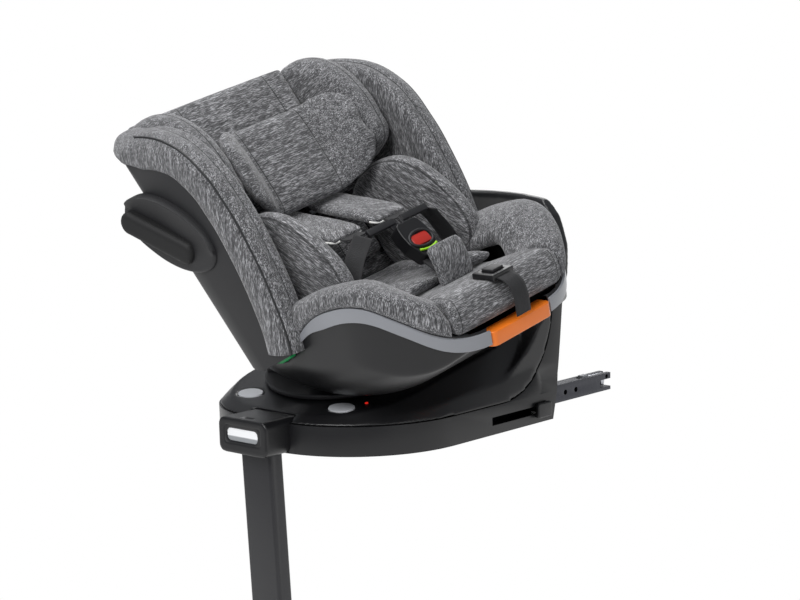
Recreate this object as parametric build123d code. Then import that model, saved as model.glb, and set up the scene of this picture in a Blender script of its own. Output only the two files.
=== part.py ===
from build123d import *
import math
import os

# Convertible child car seat on a turning base: vehicle anchor arms, support leg,
# turntable, reclining seat tub, sliding headrest and a five-point harness.
# Frame: +Z is the turntable's axis, +Y points to the anchor arms (vehicle backrest),
# -Y to the support leg, and the seat at rest faces +X, the vehicle's door.
# Heights below are measured from the deck under the turntable; save() lifts every
# piece by DECK_Z, so the origin lies where the turning axis meets the underside.
# Base pieces with "wedge" in their plane follow the inclined underside instead.

# ---- base ----
WEDGE = 12.5               # underside falls this many degrees towards the anchor arms
DECK_Z = 94.0              # deck above the underside, on the turning axis
BASE_HALF = 200.0          # half width of the lower housing
BASE_FRONT = 205.0         # from the axis to the front face, along the underside
BASE_REAR = 208.0
BASE_CORNER_FRONT = 175.0
BASE_CORNER_REAR = 45.0
DECK_CORNER = 120.0        # the deck's front corners, inside the crease
SEAM_Z = -50.0             # tray meets cover, measured square to the underside
SIDE_LEAN = 22.0           # cover walls lean in above the seam
RIM_Z = -27.0              # crease where the cover's top starts to fall away
RIM_FLAT = 52.0            # width of the falling strip beside the deck
BASE_WALL = 5.0
BAR_INNER = 332.0          # rebound bar, inner radius about the turning axis
BAR_THICK = 17.0
BAR_TOP = 158.0
BAR_HALF = 158.0

# ---- turntable ----
DISC_R = 146.0
DISC_TOP = 10.0
DISC_GAP = 2.3             # underside of the disc above the deck
POST_R = 20.0
SHAFT_FIT = 0.05           # radial running clearance of every turning shaft
RACE_R = 120.0             # pitch radius of the ball race
BALL_R = 3.0
BALL_COUNT = 18

# ---- recline ----
RECLINE_X = 100.0          # lateral axis the tub swings about
PAN_R = 331.0              # radius of the tub's underside about that axis
PAN_LIFT = 17.0            # tub's lowest line above the deck
RECLINE_Z = PAN_R + PAN_LIFT
CRADLE_TOP = 108.0
RUNNER_DEEP = 6.0
RUNNER_WIDE = 6.0
RUNNER_Y = 80.0
RUNNER_FIT = 0.3
CHEEK_WIDE = 20.0

# ---- seat tub ----
PAN_FRONT = 315.0
PAN_HALF = 195.0
PAN_CORNER = 140.0
PAN_FLOOR_HALF = 120.0     # flat half width of the rounded underside
PAN_SIDE_HIGH = 73.0       # height of the turn from the floor up into the sides
PAN_SIDE_R = PAN_R - PAN_SIDE_HIGH
SHELL_WALL = 5.0
TRIM_THICK = 3.0
TRIM_HIGH = 20.0
BACK_ANGLE = 32.0          # back leans from the vertical, fully reclined
BACK_X = -40.0             # foot of the back shell
BACK_Z = 66.0
BACK_HALF = 216.0
BACK_CORNER = 70.0
BACK_LONG = 368.0
SOFT_GAP = 0.3             # clearance of soft pads from their neighbours

# ---- headrest ----
HEAD_HALF = 174.0
HEAD_LOW = 178.0           # lower edge, measured along the back
HEAD_HIGH = 372.0
HEAD_BACK = 23.0           # rear face in front of the shell's rear face
HEAD_TRAVEL = 140.0
RAIL_R = 5.0
RAIL_Y = 60.0
RAIL_N = 15.0

# ---- support leg and anchor arms ----
LEG_Y = 213.0              # centre of the leg in front of the axis, along the underside
LEG_WIDE = 60.0
LEG_DEEP = 26.0
LEG_WALL = 2.5
LEG_LONG = 300.0
LEG_LEAN = 2.4
LEG_PIN_R = 5.0
LEG_TRAVEL = 180.0
SOCKET_HALF = 48.5
SOCKET_HIGH = 50.0
SOCKET_FRONT = 248.0
ARM_X = 140.0              # anchor spacing is 280 mm between centres
ARM_WIDE = 22.0
ARM_HIGH = 27.0
ARM_END = 400.0
ARM_LONG = 345.0
ARM_TRAVEL = 100.0
ARM_FIT = 0.4
JAW_DEEP = 26.0
JAW_HIGH = 12.0

UNDER = -DECK_Z * math.cos(math.radians(WEDGE))
WEDGE_FRAME = Location((0, 0, 0), (-WEDGE, 0, 0))
FAR = 900.0


def save(name, shape):
    """Write one node, lifted so that the origin is on the underside."""
    shape = Pos(0, 0, DECK_Z) * shape
    os.makedirs("parts", exist_ok=True)
    shape.label = name
    export_step(shape, "parts/" + name + ".step")


def outline(points):
    """A filled outline with straight sides."""
    return make_face(Polyline(*points, close=True))


def curved(curve, corners):
    """A filled outline: one smooth curve through points, closed by straight corners."""
    return make_face([Spline(*curve), Polyline(curve[-1], *corners, curve[0])])


def curved_y(curve, corners, low, high):
    """A curved outline in (x, z) carried across y."""
    plane = Plane(origin=(0, high, 0), x_dir=(1, 0, 0), z_dir=(0, -1, 0))
    return extrude(plane * curved(curve, corners), high - low)


def across_y(points, low, high):
    """An outline in (x, z) carried across from y = low to y = high."""
    plane = Plane(origin=(0, high, 0), x_dir=(1, 0, 0), z_dir=(0, -1, 0))
    return extrude(plane * outline(points), high - low)


def across_x(points, low, high):
    """An outline in (y, z) carried across from x = low to x = high."""
    plane = Plane(origin=(low, 0, 0), x_dir=(0, 1, 0), z_dir=(1, 0, 0))
    return extrude(plane * outline(points), high - low)


def box(x0, x1, y0, y1, z0, z1):
    """A box between two corners."""
    return Pos((x0 + x1) / 2, (y0 + y1) / 2, (z0 + z1) / 2) * Box(x1 - x0, y1 - y0, z1 - z0)


def rod(radius, start, direction, length):
    """A round bar from a point along a direction."""
    return extrude(Plane(origin=start, z_dir=direction) * Circle(radius), length)


def back_point(n, w):
    """(x, z) of a point n in front of the back's rear face and w up along it."""
    a = math.radians(BACK_ANGLE)
    return (BACK_X + n * math.cos(a) - w * math.sin(a), BACK_Z + n * math.sin(a) + w * math.cos(a))


def back_slab(points, low, high):
    """An outline in (n, w) of the back's frame, carried across y."""
    return across_y([back_point(n, w) for n, w in points], low, high)


def back_box(n0, n1, y0, y1, w0, w1):
    """A block in the back's frame."""
    return back_slab([(n0, w0), (n1, w0), (n1, w1), (n0, w1)], y0, y1)


def back_section(n0, n1, half, radius, foot=-80.0):
    """A block's section square to the back, rounded at its two rear corners, from w = foot up."""
    a = math.radians(BACK_ANGLE)
    x, z = back_point(0, foot)
    plane = Plane(origin=(x, 0, z), x_dir=(math.cos(a), 0, math.sin(a)),
                  z_dir=(-math.sin(a), 0, math.cos(a)))
    face = make_face(Polyline((n0, -half), (n1, -half), (n1, half), (n0, half), close=True))
    rear = face.vertices().sort_by(Axis((0, 0, 0), (1, 0, 0)))[:2]
    return extrude(plane * fillet(rear, radius), 520 - foot)


def back_front_view(points):
    """An outline in (y, w), carried along the back's normal."""
    a = math.radians(BACK_ANGLE)
    x, z = back_point(-60, 0)
    plane = Plane(origin=(x, 0, z), x_dir=(0, 1, 0), z_dir=(math.cos(a), 0, math.sin(a)))
    return extrude(plane * outline(points), 400)


def drum(radius, half_floor, side_radius, half):
    """Solid of revolution about the recline axis: flat floor, rounded sides."""
    section = make_face([
        Polyline((half, 0), (half, side_radius)),
        EllipticalCenterArc((half_floor, side_radius), half - half_floor, radius - side_radius,
                            start_angle=0, arc_size=90),
        Polyline((half_floor, radius), (-half_floor, radius)),
        EllipticalCenterArc((-half_floor, side_radius), half - half_floor, radius - side_radius,
                            start_angle=90, arc_size=90),
        Polyline((-half, side_radius), (-half, 0), (half, 0)),
    ])
    plane = Plane(origin=(RECLINE_X, 0, RECLINE_Z), x_dir=(0, 1, 0), z_dir=(1, 0, 0))
    axis = Axis((RECLINE_X, 0, RECLINE_Z), (0, 1, 0))
    return revolve(plane * section, axis)


def pan_plan(grow):
    """The seat pan's plan outline as a tall prism, grown outwards."""
    front, half, corner = PAN_FRONT + grow, PAN_HALF + grow, PAN_CORNER + grow
    face = make_face(Polyline((-150, -half), (front, -half), (front, half), (-150, half), close=True))
    ahead = face.vertices().sort_by(Axis.X)[-2:]
    return Pos(0, 0, -60) * extrude(fillet(ahead, corner), 400)


# ================= base =================

def plan_section(half, front, rear, corner_front, corner_rear, height, tilt):
    """One outline of the housing, on a plane tilted about X, square to the underside."""
    face = make_face(Polyline((-half, -front), (half, -front), (half, rear), (-half, rear), close=True))
    face = fillet(face.vertices().sort_by(Axis.Y)[:2], corner_front)
    face = fillet(face.vertices().sort_by(Axis.Y)[-2:], corner_rear)
    return Location((0, 0, height), (tilt, 0, 0)) * face


def base_block(inset):
    """Lower housing and deck, every face moved inwards by inset."""
    lean_in = (RIM_Z - SEAM_Z) * math.tan(math.radians(SIDE_LEAN))
    deck_half = BASE_HALF - lean_in - RIM_FLAT
    seam = [BASE_HALF - inset, BASE_FRONT - inset, BASE_REAR - inset,
            BASE_CORNER_FRONT - inset, BASE_CORNER_REAR - inset]
    rim = [BASE_HALF - lean_in - inset, BASE_FRONT - 6 - inset, BASE_REAR - 4 - inset,
           BASE_CORNER_FRONT - inset, BASE_CORNER_REAR - inset]
    deck = [deck_half + 22 - inset, BASE_FRONT - 20 - inset, BASE_REAR - 8 - inset,
            DECK_CORNER - inset, BASE_CORNER_REAR - inset]
    low = Pos(0, 0, UNDER + inset) * extrude(plan_section(*seam, 0, 0), SEAM_Z - UNDER - inset)
    high = loft([plan_section(*seam, SEAM_Z, 0), plan_section(*rim, RIM_Z - inset / 2, 5.4),
                 plan_section(*deck, -inset, WEDGE)], ruled=True)
    return WEDGE_FRAME * (low + high)


def wall_ring(points):
    """A ring about the turning axis on the anchor side, from (radius, z) points."""
    return revolve(Plane.XZ * outline(points), Axis.Z, 180)


def rear_wall():
    """The bowl that rises behind the deck and ends in the rebound bar."""
    outer = BAR_INNER + BAR_THICK
    ring = wall_ring([(180, -160), (250, -160), (262, -131), (285, -60), (309, 20), (332, 55),
                      (outer - 2, 92), (outer, 120), (outer, BAR_TOP - 6), (outer - 6, BAR_TOP),
                      (BAR_INNER + 5, BAR_TOP), (BAR_INNER, BAR_TOP - 6), (BAR_INNER, 90), (320, 72),
                      (300, 56), (272, 38), (240, 20), (210, 0), (180, 0)])
    ends = [(-BAR_HALF + 48, 234), (-BAR_HALF + 8, 200), (-BAR_HALF - 10, 150), (-184, 80)]
    right = [(-x, z) for x, z in reversed(ends)]
    front_view = ([(-BASE_HALF, -160), (-BASE_HALF, SEAM_Z), (-BASE_HALF + 9, RIM_Z)]
                  + list(reversed(ends)) + list(reversed(right))
                  + [(BASE_HALF - 9, RIM_Z), (BASE_HALF, SEAM_Z), (BASE_HALF, -160)])
    plane = Plane(origin=(0, 400, 0), x_dir=(1, 0, 0), z_dir=(0, -1, 0))
    ring &= WEDGE_FRAME * extrude(plane * outline(front_view), 500)
    ring &= WEDGE_FRAME * across_x([(-20, UNDER), (226, UNDER), (262, -20), (300, 90), (318, 260),
                                    (-20, 260)], -FAR, FAR)
    return ring & wall_sweep(0)


SWEEP = [(40, -40), (95, -34), (150, -14), (200, 20), (242, 62), (270, 108), (292, 175)]


def side_view(face):
    """A face drawn in (y, z), carried right across the base."""
    return extrude(Plane(origin=(-FAR, 0, 0), x_dir=(0, 1, 0), z_dir=(1, 0, 0)) * face, 2 * FAR)


def wall_sweep(inset):
    """Everything behind and under the wall's sweeping top, which is moved in by inset."""
    curve = [(y + inset, z - inset) for y, z in SWEEP]
    return side_view(curved(curve, [(420, 175), (420, -170), (40 + inset, -170)]))


def wall_hollow():
    """Hollow inside the thick foot of the rear wall."""
    ring = wall_ring([(196, -150), (246, -150), (268, -80), (292, 0), (296, 22), (270, 14), (240, 0),
                      (196, -14)])
    ring &= WEDGE_FRAME * across_x([(0, UNDER + BASE_WALL), (220, UNDER + BASE_WALL), (250, -20),
                                    (280, 60), (0, 60)], -172, 172)
    return ring & wall_sweep(BASE_WALL + 1)


def below_seam():
    """Everything under the line where the tray meets the cover."""
    curve = [(70, SEAM_Z), (100, SEAM_Z + 2), (132, -39), (163, -21), (190, 8), (207, 42), (216, 80)]
    return WEDGE_FRAME * side_view(curved(curve, [(FAR, 80), (FAR, -FAR), (-FAR, -FAR), (-FAR, SEAM_Z)]))


SCREW_PLACES = [(-112, -130), (112, -130), (-174, -30), (174, -30), (-95, 160), (95, 160)]
PAD_PLACES = [(-150, -90), (150, -90), (-100, 190), (100, 190)]
PIN_Z = UNDER + 19.0
CHANNEL_HALF = LEG_WIDE / 2 + 1.0
CHANNEL_TOP = PIN_Z + 18.5
CHANNEL_END = -38.0
SOCKET_TOP = UNDER + SOCKET_HIGH
ARM_Z = UNDER + 6.0
KNOB_Y = 165.0


def wedge_box(x0, x1, y0, y1, z0, z1):
    """A box square to the underside."""
    return WEDGE_FRAME * box(x0, x1, y0, y1, z0, z1)


def socket_outer():
    """The rounded block that carries the support leg in front of the base."""
    face = Rectangle(2 * SOCKET_HALF, SOCKET_HIGH)
    face = fillet(face.vertices(), 11)
    plane = Plane(origin=(0, -SOCKET_FRONT, UNDER + SOCKET_HIGH / 2), x_dir=(1, 0, 0), z_dir=(0, -1, 0))
    return WEDGE_FRAME * extrude(plane * face, -(SOCKET_FRONT - 160))


def leg_room():
    """Space for the leg's root and for the leg to fold back under the base."""
    return wedge_box(-CHANNEL_HALF, CHANNEL_HALF, -LEG_Y - 20, CHANNEL_END, UNDER - 1, CHANNEL_TOP)


def arm_box(side, grow, start, end):
    """The anchor arm's straight envelope on one side, grown all round."""
    x = side * ARM_X
    return wedge_box(x - ARM_WIDE / 2 - grow, x + ARM_WIDE / 2 + grow, start, end,
                     ARM_Z - grow, ARM_Z + ARM_HIGH + grow)


def release_room(side):
    """Room over the retracted arm for its latch release."""
    top = ARM_Z + ARM_HIGH
    return wedge_box(side * ARM_X - 6, side * ARM_X + 6, 222, 300, top, top + 4.5)


def knob_slot(side, grow):
    """Slot in the housing's side along which the arm's knob travels."""
    x0, x1 = sorted((side * (ARM_X + 8), side * (BASE_HALF + 20)))
    z = ARM_Z + ARM_HIGH / 2
    return wedge_box(x0, x1, KNOB_Y - ARM_TRAVEL - 10 - grow, KNOB_Y + 10 + grow,
                     z - 5 - grow, z + 5 + grow)


def base_pieces():
    """Tray and cover, with everything cut that passes through them."""
    outer = base_block(0) + rear_wall()
    inside = base_block(BASE_WALL)
    inside -= wedge_box(-CHANNEL_HALF - BASE_WALL, CHANNEL_HALF + BASE_WALL, -FAR, CHANNEL_END + BASE_WALL,
                        UNDER - 1, SEAM_Z)
    inside += wall_hollow()
    for x, y in SCREW_PLACES:
        inside -= WEDGE_FRAME * rod(7, (x, y, UNDER - 5), (0, 0, 1), 200)
    hollow = outer - inside
    hollow -= leg_room() + socket_outer()
    for side in (-1, 1):
        hollow -= arm_box(side, 2.4, 60, 300) + knob_slot(side, 1) + release_room(side)
    for x, y in PAD_PLACES:
        hollow -= WEDGE_FRAME * rod(14, (x, y, UNDER - 1), (0, 0, 1), 3)
    for x, y in SCREW_PLACES:
        hollow -= WEDGE_FRAME * rod(4.8, (x, y, UNDER - 1), (0, 0, 1), 4.5)
        hollow -= WEDGE_FRAME * rod(2.2, (x, y, UNDER - 1), (0, 0, 1), 50)
    hollow -= rod(POST_R + 0.5, (0, 0, -30), (0, 0, 1), 60)
    for x in (-BUTTON_X, BUTTON_X):
        hollow -= button_solid(x, 0.3, -30, 10)
    hollow -= rod(2.6, (LAMP_X, LAMP_Y, -30), (0, 0, 1), 60)
    tray_body = (hollow & below_seam()).solids().sort_by(SortBy.VOLUME)[-1]
    return tray_body, hollow - tray_body


BUTTON_X = 92.0
BUTTON_Y = -146.0
BUTTON_LONG = 22.0
BUTTON_WIDE = 15.0
LAMP_X = 118.0
LAMP_Y = -122.0


def button_solid(x, grow, low, high):
    """An oval push button, seen from above."""
    oval = Ellipse(BUTTON_LONG + grow, BUTTON_WIDE + grow)
    return Pos(x, BUTTON_Y, low) * extrude(oval, high - low)


def leg_socket():
    """Housing of the leg's hinge, with its window recess and the pin's bores."""
    body = socket_outer() - leg_room()
    front = -SOCKET_FRONT
    mid = UNDER + SOCKET_HIGH / 2 + 2
    body -= wedge_box(-34, 34, front - 1, front + 4, mid - 11, mid + 11)
    body -= wedge_box(-10, 10, -LEG_Y - 24, -LEG_Y - 18, SOCKET_TOP - 2, SOCKET_TOP + 1)
    body -= WEDGE_FRAME * rod(LEG_PIN_R + SHAFT_FIT, (-46, -LEG_Y, PIN_Z), (1, 0, 0), 92)
    return body


def leg_window():
    """Light panel in the front of the leg's housing."""
    front = -SOCKET_FRONT
    mid = UNDER + SOCKET_HIGH / 2 + 2
    return wedge_box(-33.8, 33.8, front + 1, front + 4, mid - 10.8, mid + 10.8)


def isofix_rails():
    """Two steel sleeves in which the anchor arms slide."""
    rails = []
    for side in (-1, 1):
        rail = arm_box(side, 2.4, 62, 200) - arm_box(side, ARM_FIT, 50, 250) - knob_slot(side, 1)
        rails.append(rail)
    return Compound(rails)


def bearing_race():
    """Steel ring on the deck that the turntable's balls roll on."""
    ring = extrude(Circle(RACE_R + 8) - Circle(RACE_R - 8), DISC_GAP - 0.3)
    return ring


def spin_post():
    """Flanged post the turntable turns on, held under the deck."""
    post = rod(60, (0, 0, -BASE_WALL - 6), (0, 0, 1), 6)
    post += rod(POST_R, (0, 0, -BASE_WALL), (0, 0, 1), BASE_WALL + DISC_TOP + 0.3)
    post += rod(POST_R + 7, (0, 0, DISC_TOP + 0.3), (0, 0, 1), 4)
    return post


def housing_screws():
    """Screws that hold the tray to the cover."""
    screws = []
    for x, y in SCREW_PLACES:
        head = rod(4.5, (x, y, UNDER + 0.4), (0, 0, 1), 3.1)
        shank = rod(2.1, (x, y, UNDER + 3), (0, 0, 1), 44)
        screws.append(WEDGE_FRAME * (head + shank))
    return Compound(screws)


def base_pads():
    """Rubber pads let into the underside, flush with it."""
    return Compound([WEDGE_FRAME * rod(13.9, (x, y, UNDER), (0, 0, 1), 2) for x, y in PAD_PLACES])


# ================= support leg =================

LEG_PLACE = WEDGE_FRAME * Location((0, -LEG_Y, PIN_Z), (LEG_LEAN, 0, 0))


def tube(wide, deep, wall, low, high, corner=5.0):
    """A rounded rectangular tube hanging below the leg's pin."""
    outer = fillet(Rectangle(wide, deep).vertices(), corner)
    inner = fillet(Rectangle(wide - 2 * wall, deep - 2 * wall).vertices(), max(corner - wall, 0.5))
    return Pos(0, 0, low) * extrude(outer - inner, high - low)


def leg_outer():
    """Upper leg tube with its bore for the hinge pin."""
    body = tube(LEG_WIDE, LEG_DEEP, LEG_WALL, -LEG_LONG, 12)
    hub = box(-LEG_WIDE / 2 + LEG_WALL, LEG_WIDE / 2 - LEG_WALL, -9, 9, -9, 9)
    body += hub
    body -= rod(LEG_PIN_R + SHAFT_FIT, (-60, 0, 0), (1, 0, 0), 120)
    return LEG_PLACE * body


COLLAR_HIGH = 38.0
COLLAR_OUT = 6.0


def leg_collar():
    """Plastic collar at the tube's lower end that holds the height button."""
    wide, deep = LEG_WIDE + 2 * COLLAR_OUT, LEG_DEEP + 2 * COLLAR_OUT
    body = Pos(0, 0, -LEG_LONG) * extrude(fillet(Rectangle(wide, deep).vertices(), 8), COLLAR_HIGH)
    body -= box(-LEG_WIDE / 2, LEG_WIDE / 2, -LEG_DEEP / 2, LEG_DEEP / 2, -LEG_LONG - 1, 0)
    front = -LEG_DEEP / 2 - COLLAR_OUT
    body -= rod(9.3, (0, front - 1, -LEG_LONG + COLLAR_HIGH / 2), (0, 1, 0), COLLAR_OUT)
    return LEG_PLACE * body


def leg_button():
    """Round button that frees the leg's height."""
    front = -LEG_DEEP / 2 - COLLAR_OUT
    return LEG_PLACE * rod(9.0, (0, front - 3.0, -LEG_LONG + COLLAR_HIGH / 2), (0, 1, 0), COLLAR_OUT - 1.4)


INNER_GAP = 0.4


def leg_inner():
    """Telescoping lower tube."""
    wide = LEG_WIDE - 2 * LEG_WALL - 2 * INNER_GAP
    deep = LEG_DEEP - 2 * LEG_WALL - 2 * INNER_GAP
    return LEG_PLACE * tube(wide, deep, 2.0, -LEG_LONG - 20, -LEG_LONG + 240, 3.0)


def leg_foot():
    """Foot on the lower tube, on the vehicle's floor."""
    wide = LEG_WIDE - 2 * LEG_WALL - 2 * INNER_GAP
    deep = LEG_DEEP - 2 * LEG_WALL - 2 * INNER_GAP
    body = Pos(0, 0, -LEG_LONG - 28) * extrude(fillet(Rectangle(92, 58).vertices(), 16), 24)
    body -= Pos(0, 0, -LEG_LONG - 20) * extrude(fillet(Rectangle(wide, deep).vertices(), 3), 60)
    return LEG_PLACE * body


def leg_pin():
    """Hinge pin of the support leg."""
    return WEDGE_FRAME * rod(LEG_PIN_R, (-45.5, -LEG_Y, PIN_Z), (1, 0, 0), 91)


# ================= anchor arms =================

HOOK_PIN_Y = ARM_END - 38.0
HOOK_PIN_R = 3.0
RELEASE_Y = ARM_END - 56.0


def hook_pin_z():
    """Height of the latch hook's pin, square to the underside."""
    return ARM_Z + ARM_HIGH - 6.0


def isofix_arms():
    """Both anchor arms, which slide together."""
    return Compound([isofix_arm(-1), isofix_arm(1)])


def isofix_knobs():
    """Both arm grips."""
    return Compound([isofix_knob(-1), isofix_knob(1)])


def isofix_arm(side):
    """Steel anchor arm with a jaw, a row of holes and a slot for the latch hook."""
    arm = arm_box(side, 0, ARM_END - ARM_LONG, ARM_END)
    x = side * ARM_X
    mid = ARM_Z + ARM_HIGH / 2 - 2
    far = ARM_WIDE / 2 + 1
    arm -= wedge_box(x - far, x + far, ARM_END - JAW_DEEP, ARM_END + 1, mid - JAW_HIGH / 2, mid + JAW_HIGH / 2)
    arm -= wedge_box(x - 3.2, x + 3.2, HOOK_PIN_Y - 12, ARM_END + 1, mid - JAW_HIGH / 2, FAR)
    for step in range(4):
        y = ARM_END - 88 - 26 * step
        arm -= WEDGE_FRAME * rod(4.0, (x - far, y, ARM_Z + ARM_HIGH / 2), (1, 0, 0), 2 * far)
    arm -= WEDGE_FRAME * rod(3.2, (x - far, ARM_END - 10, ARM_Z + ARM_HIGH - 5), (1, 0, 0), 2 * far)
    arm += WEDGE_FRAME * rod(HOOK_PIN_R, (x - 4, HOOK_PIN_Y, hook_pin_z()), (1, 0, 0), 8)
    top = ARM_Z + ARM_HIGH
    arm -= wedge_box(x - 5.2, x + 5.2, RELEASE_Y - 16, RELEASE_Y + 8, top - 3, top + 1)
    return arm


def latch_hook(side):
    """Hook that closes the jaw behind the vehicle's anchor bar."""
    top = hook_pin_z()
    low = ARM_Z + ARM_HIGH / 2 - 2 - JAW_HIGH / 2
    points = [(HOOK_PIN_Y - 6, top - 5.5), (HOOK_PIN_Y + 8, top - 5), (ARM_END - 14, top - 3),
              (ARM_END - 12, low + 1), (ARM_END - 6, low + 1), (ARM_END - 3, top + 1),
              (ARM_END - 9, top + 5.5), (HOOK_PIN_Y - 4, top + 5.5)]
    hook = across_x(points, side * ARM_X - 2.5, side * ARM_X + 2.5)
    hook -= rod(HOOK_PIN_R + SHAFT_FIT, (side * ARM_X - 5, HOOK_PIN_Y, top), (1, 0, 0), 10)
    return WEDGE_FRAME * hook


def latch_release(side):
    """Sliding button that opens the latch hook."""
    x = side * ARM_X
    top = ARM_Z + ARM_HIGH
    body = box(x - 4.8, x + 4.8, RELEASE_Y - 7, RELEASE_Y + 7, top - 2.6, top + 3)
    return WEDGE_FRAME * body


def isofix_knob(side):
    """Grip on the housing's side that slides the anchor arm in and out."""
    z = ARM_Z + ARM_HIGH / 2
    x0, x1 = sorted((side * (ARM_X + ARM_WIDE / 2), side * (BASE_HALF + 3)))
    stem = box(x0, x1, KNOB_Y - 9, KNOB_Y + 9, z - 4, z + 4)
    g0, g1 = sorted((side * (BASE_HALF + 1), side * (BASE_HALF + 9)))
    grip = box(g0, g1, KNOB_Y - 16, KNOB_Y + 16, z - 11, z + 11)
    grip = fillet(grip.edges().filter_by(Axis.X), 4)
    return WEDGE_FRAME * (stem + grip)


# ================= turntable =================

def turntable():
    """Disc that carries the seat, with a groove for its balls."""
    disc = Pos(0, 0, DISC_GAP) * extrude(Circle(DISC_R) - Circle(POST_R + SHAFT_FIT), DISC_TOP - DISC_GAP)
    groove = Circle(RACE_R + BALL_R + 0.3) - Circle(RACE_R - BALL_R - 0.3)
    disc = disc - Pos(0, 0, DISC_GAP) * extrude(groove, 2 * BALL_R - 0.2)
    return chamfer(disc.edges().filter_by(GeomType.CIRCLE).sort_by(SortBy.LENGTH)[-2:], 1.5)


def bearing_balls():
    """Balls between the race and the turntable."""
    z = DISC_GAP - 0.3 + BALL_R + 0.05
    return Compound([Rot(0, 0, 360 * i / BALL_COUNT) * Pos(RACE_R, 0, z) * Sphere(BALL_R)
                     for i in range(BALL_COUNT)])


CHEEK_BACK = -112.0
CHEEK_FRONT = 108.0
UNDER_GAP = 0.6


def recline_cradle():
    """Cheeks on the turntable, hollowed to the tub's round underside."""
    sides = []
    for side in (-1, 1):
        y0, y1 = RUNNER_Y - CHEEK_WIDE / 2, RUNNER_Y + CHEEK_WIDE / 2
        y0, y1 = sorted((side * y0, side * y1))
        sides.append(box(CHEEK_BACK, CHEEK_FRONT, y0, y1, DISC_TOP, CRADLE_TOP))
    inner = RUNNER_Y - CHEEK_WIDE / 2
    body = sides[0] + sides[1] + box(CHEEK_BACK, CHEEK_BACK + 12, -inner, inner, DISC_TOP, CRADLE_TOP)
    body -= drum(PAN_R + UNDER_GAP, PAN_FLOOR_HALF + 20, PAN_SIDE_R, PAN_HALF + 20)
    body -= runner_ring(RUNNER_FIT)
    return body


def runner_ring(grow):
    """The runners' full circle about the recline axis, grown by a clearance."""
    rings = []
    for side in (-1, 1):
        low, high = PAN_R - 4, PAN_R + RUNNER_DEEP + 4 * grow
        mid, half = side * RUNNER_Y, RUNNER_WIDE / 2 + grow
        plane = Plane(origin=(RECLINE_X, mid - half, RECLINE_Z), x_dir=(1, 0, 0), z_dir=(0, 1, 0))
        rings.append(extrude(plane * (Circle(high) - Circle(low)), 2 * half))
    return rings[0] + rings[1]


def recline_runners():
    """Curved steel runners under the tub, in the cradle's grooves."""
    ring = runner_ring(0) & box(-85, 140, -PAN_HALF, PAN_HALF, -20, 120)
    return ring - drum(PAN_R, PAN_FLOOR_HALF, PAN_SIDE_R, PAN_HALF)


# ================= seat tub =================

# Upper edge of the trim band along the tub's side, (x, z) from the rear round the thigh
# arch to the front centre.
BAND_TOP = [(73, 103), (92, 127), (114, 147), (136, 160), (159, 168), (178, 173), (196, 175), (214, 173.5),
            (230, 168), (247, 158), (266, 144), (278, 133), (290, 122), (302, 113), (312, 108), (330, 105)]
RIM_STEP = 3.0             # tub's rim above the band
PAN_REAR_TOP = 86.0        # rim behind the arches, under the back cushion


def pan_solid(inset, foot=-320.0):
    """The bowl's outer shape moved in by inset, before its rim is cut."""
    body = drum(PAN_R - inset, PAN_FLOOR_HALF, PAN_SIDE_R - inset, PAN_HALF - inset)
    body &= pan_plan(-inset) & box(-140, 330, -PAN_HALF, PAN_HALF, -40, 240)
    inner = SHELL_WALL + inset
    return body & back_section(inner, 480, BACK_HALF - inner, BACK_CORNER - inner, foot)


def pan_shell():
    """Lower bowl of the seat tub, with the recline handle's slot."""
    rim = [(x, z + RIM_STEP) for x, z in BAND_TOP]
    under = curved_y(rim, [(330, -60), (-160, -60), (-160, PAN_REAR_TOP), (52, PAN_REAR_TOP)],
                     -PAN_HALF, PAN_HALF)
    return (pan_solid(0) - pan_solid(SHELL_WALL)) & under - handle_slot()


# Wing outline in the back's frame, (n, w), from the foot round the front to the top.
WING = [(0, 0), (62, -28), (131, -35), (147, -3), (158, 30), (167, 62), (174, 96), (179, 130), (182, 160),
        (182, 190), (181, 215), (176, 240), (168, 262), (157, 283), (142, 302), (124, 318), (104, 332),
        (83, 344), (58, 356), (30, 365), (0, BACK_LONG)]
BACK_EDGE = [(BACK_HALF, 240), (212, 300), (202, 345), (178, 372), (140, 382)]


def back_solid(inset):
    """Back and wings before their front edge is cut, outer faces moved in by inset."""
    body = back_section(inset, 300, BACK_HALF - inset, BACK_CORNER - inset)
    edge = [(y - inset, w) for y, w in BACK_EDGE]
    mirrored = [(-y, w) for y, w in reversed(edge)]
    half = BACK_HALF - inset
    return body & back_front_view([(-half, -70), (half, -70)] + edge + mirrored)


def wing_slab(low, high):
    """The wings' side outline carried across y."""
    front = [back_point(n, w) for n, w in WING[2:]]
    return curved_y(front, [back_point(n, w) for n, w in WING[:2]], low, high)


def back_shell():
    """Outer shell of the back and its side wings."""
    return (back_solid(0) - back_solid(SHELL_WALL)) & wing_slab(-BACK_HALF, BACK_HALF)


def side_pod(side):
    """Raised side-impact cushion on the wing's outer face."""
    along = (math.cos(math.radians(POD_TILT)), 0, -math.sin(math.radians(POD_TILT)))
    faces = []
    for out, shrink in ((-16, 0), (8, 0), (POD_OUT, 13)):
        plane = Plane(origin=(POD_X, side * (BACK_HALF + out), POD_Z), x_dir=along, z_dir=(0, side, 0))
        faces.append(plane * Ellipse(POD_LONG - shrink, POD_HIGH - shrink))
    return loft(faces) - back_section(0, 300, BACK_HALF, BACK_CORNER)


POD_X = -105.0
POD_Z = 268.0
POD_TILT = 22.0
POD_LONG = 88.0
POD_HIGH = 46.0
POD_OUT = 22.0


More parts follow.
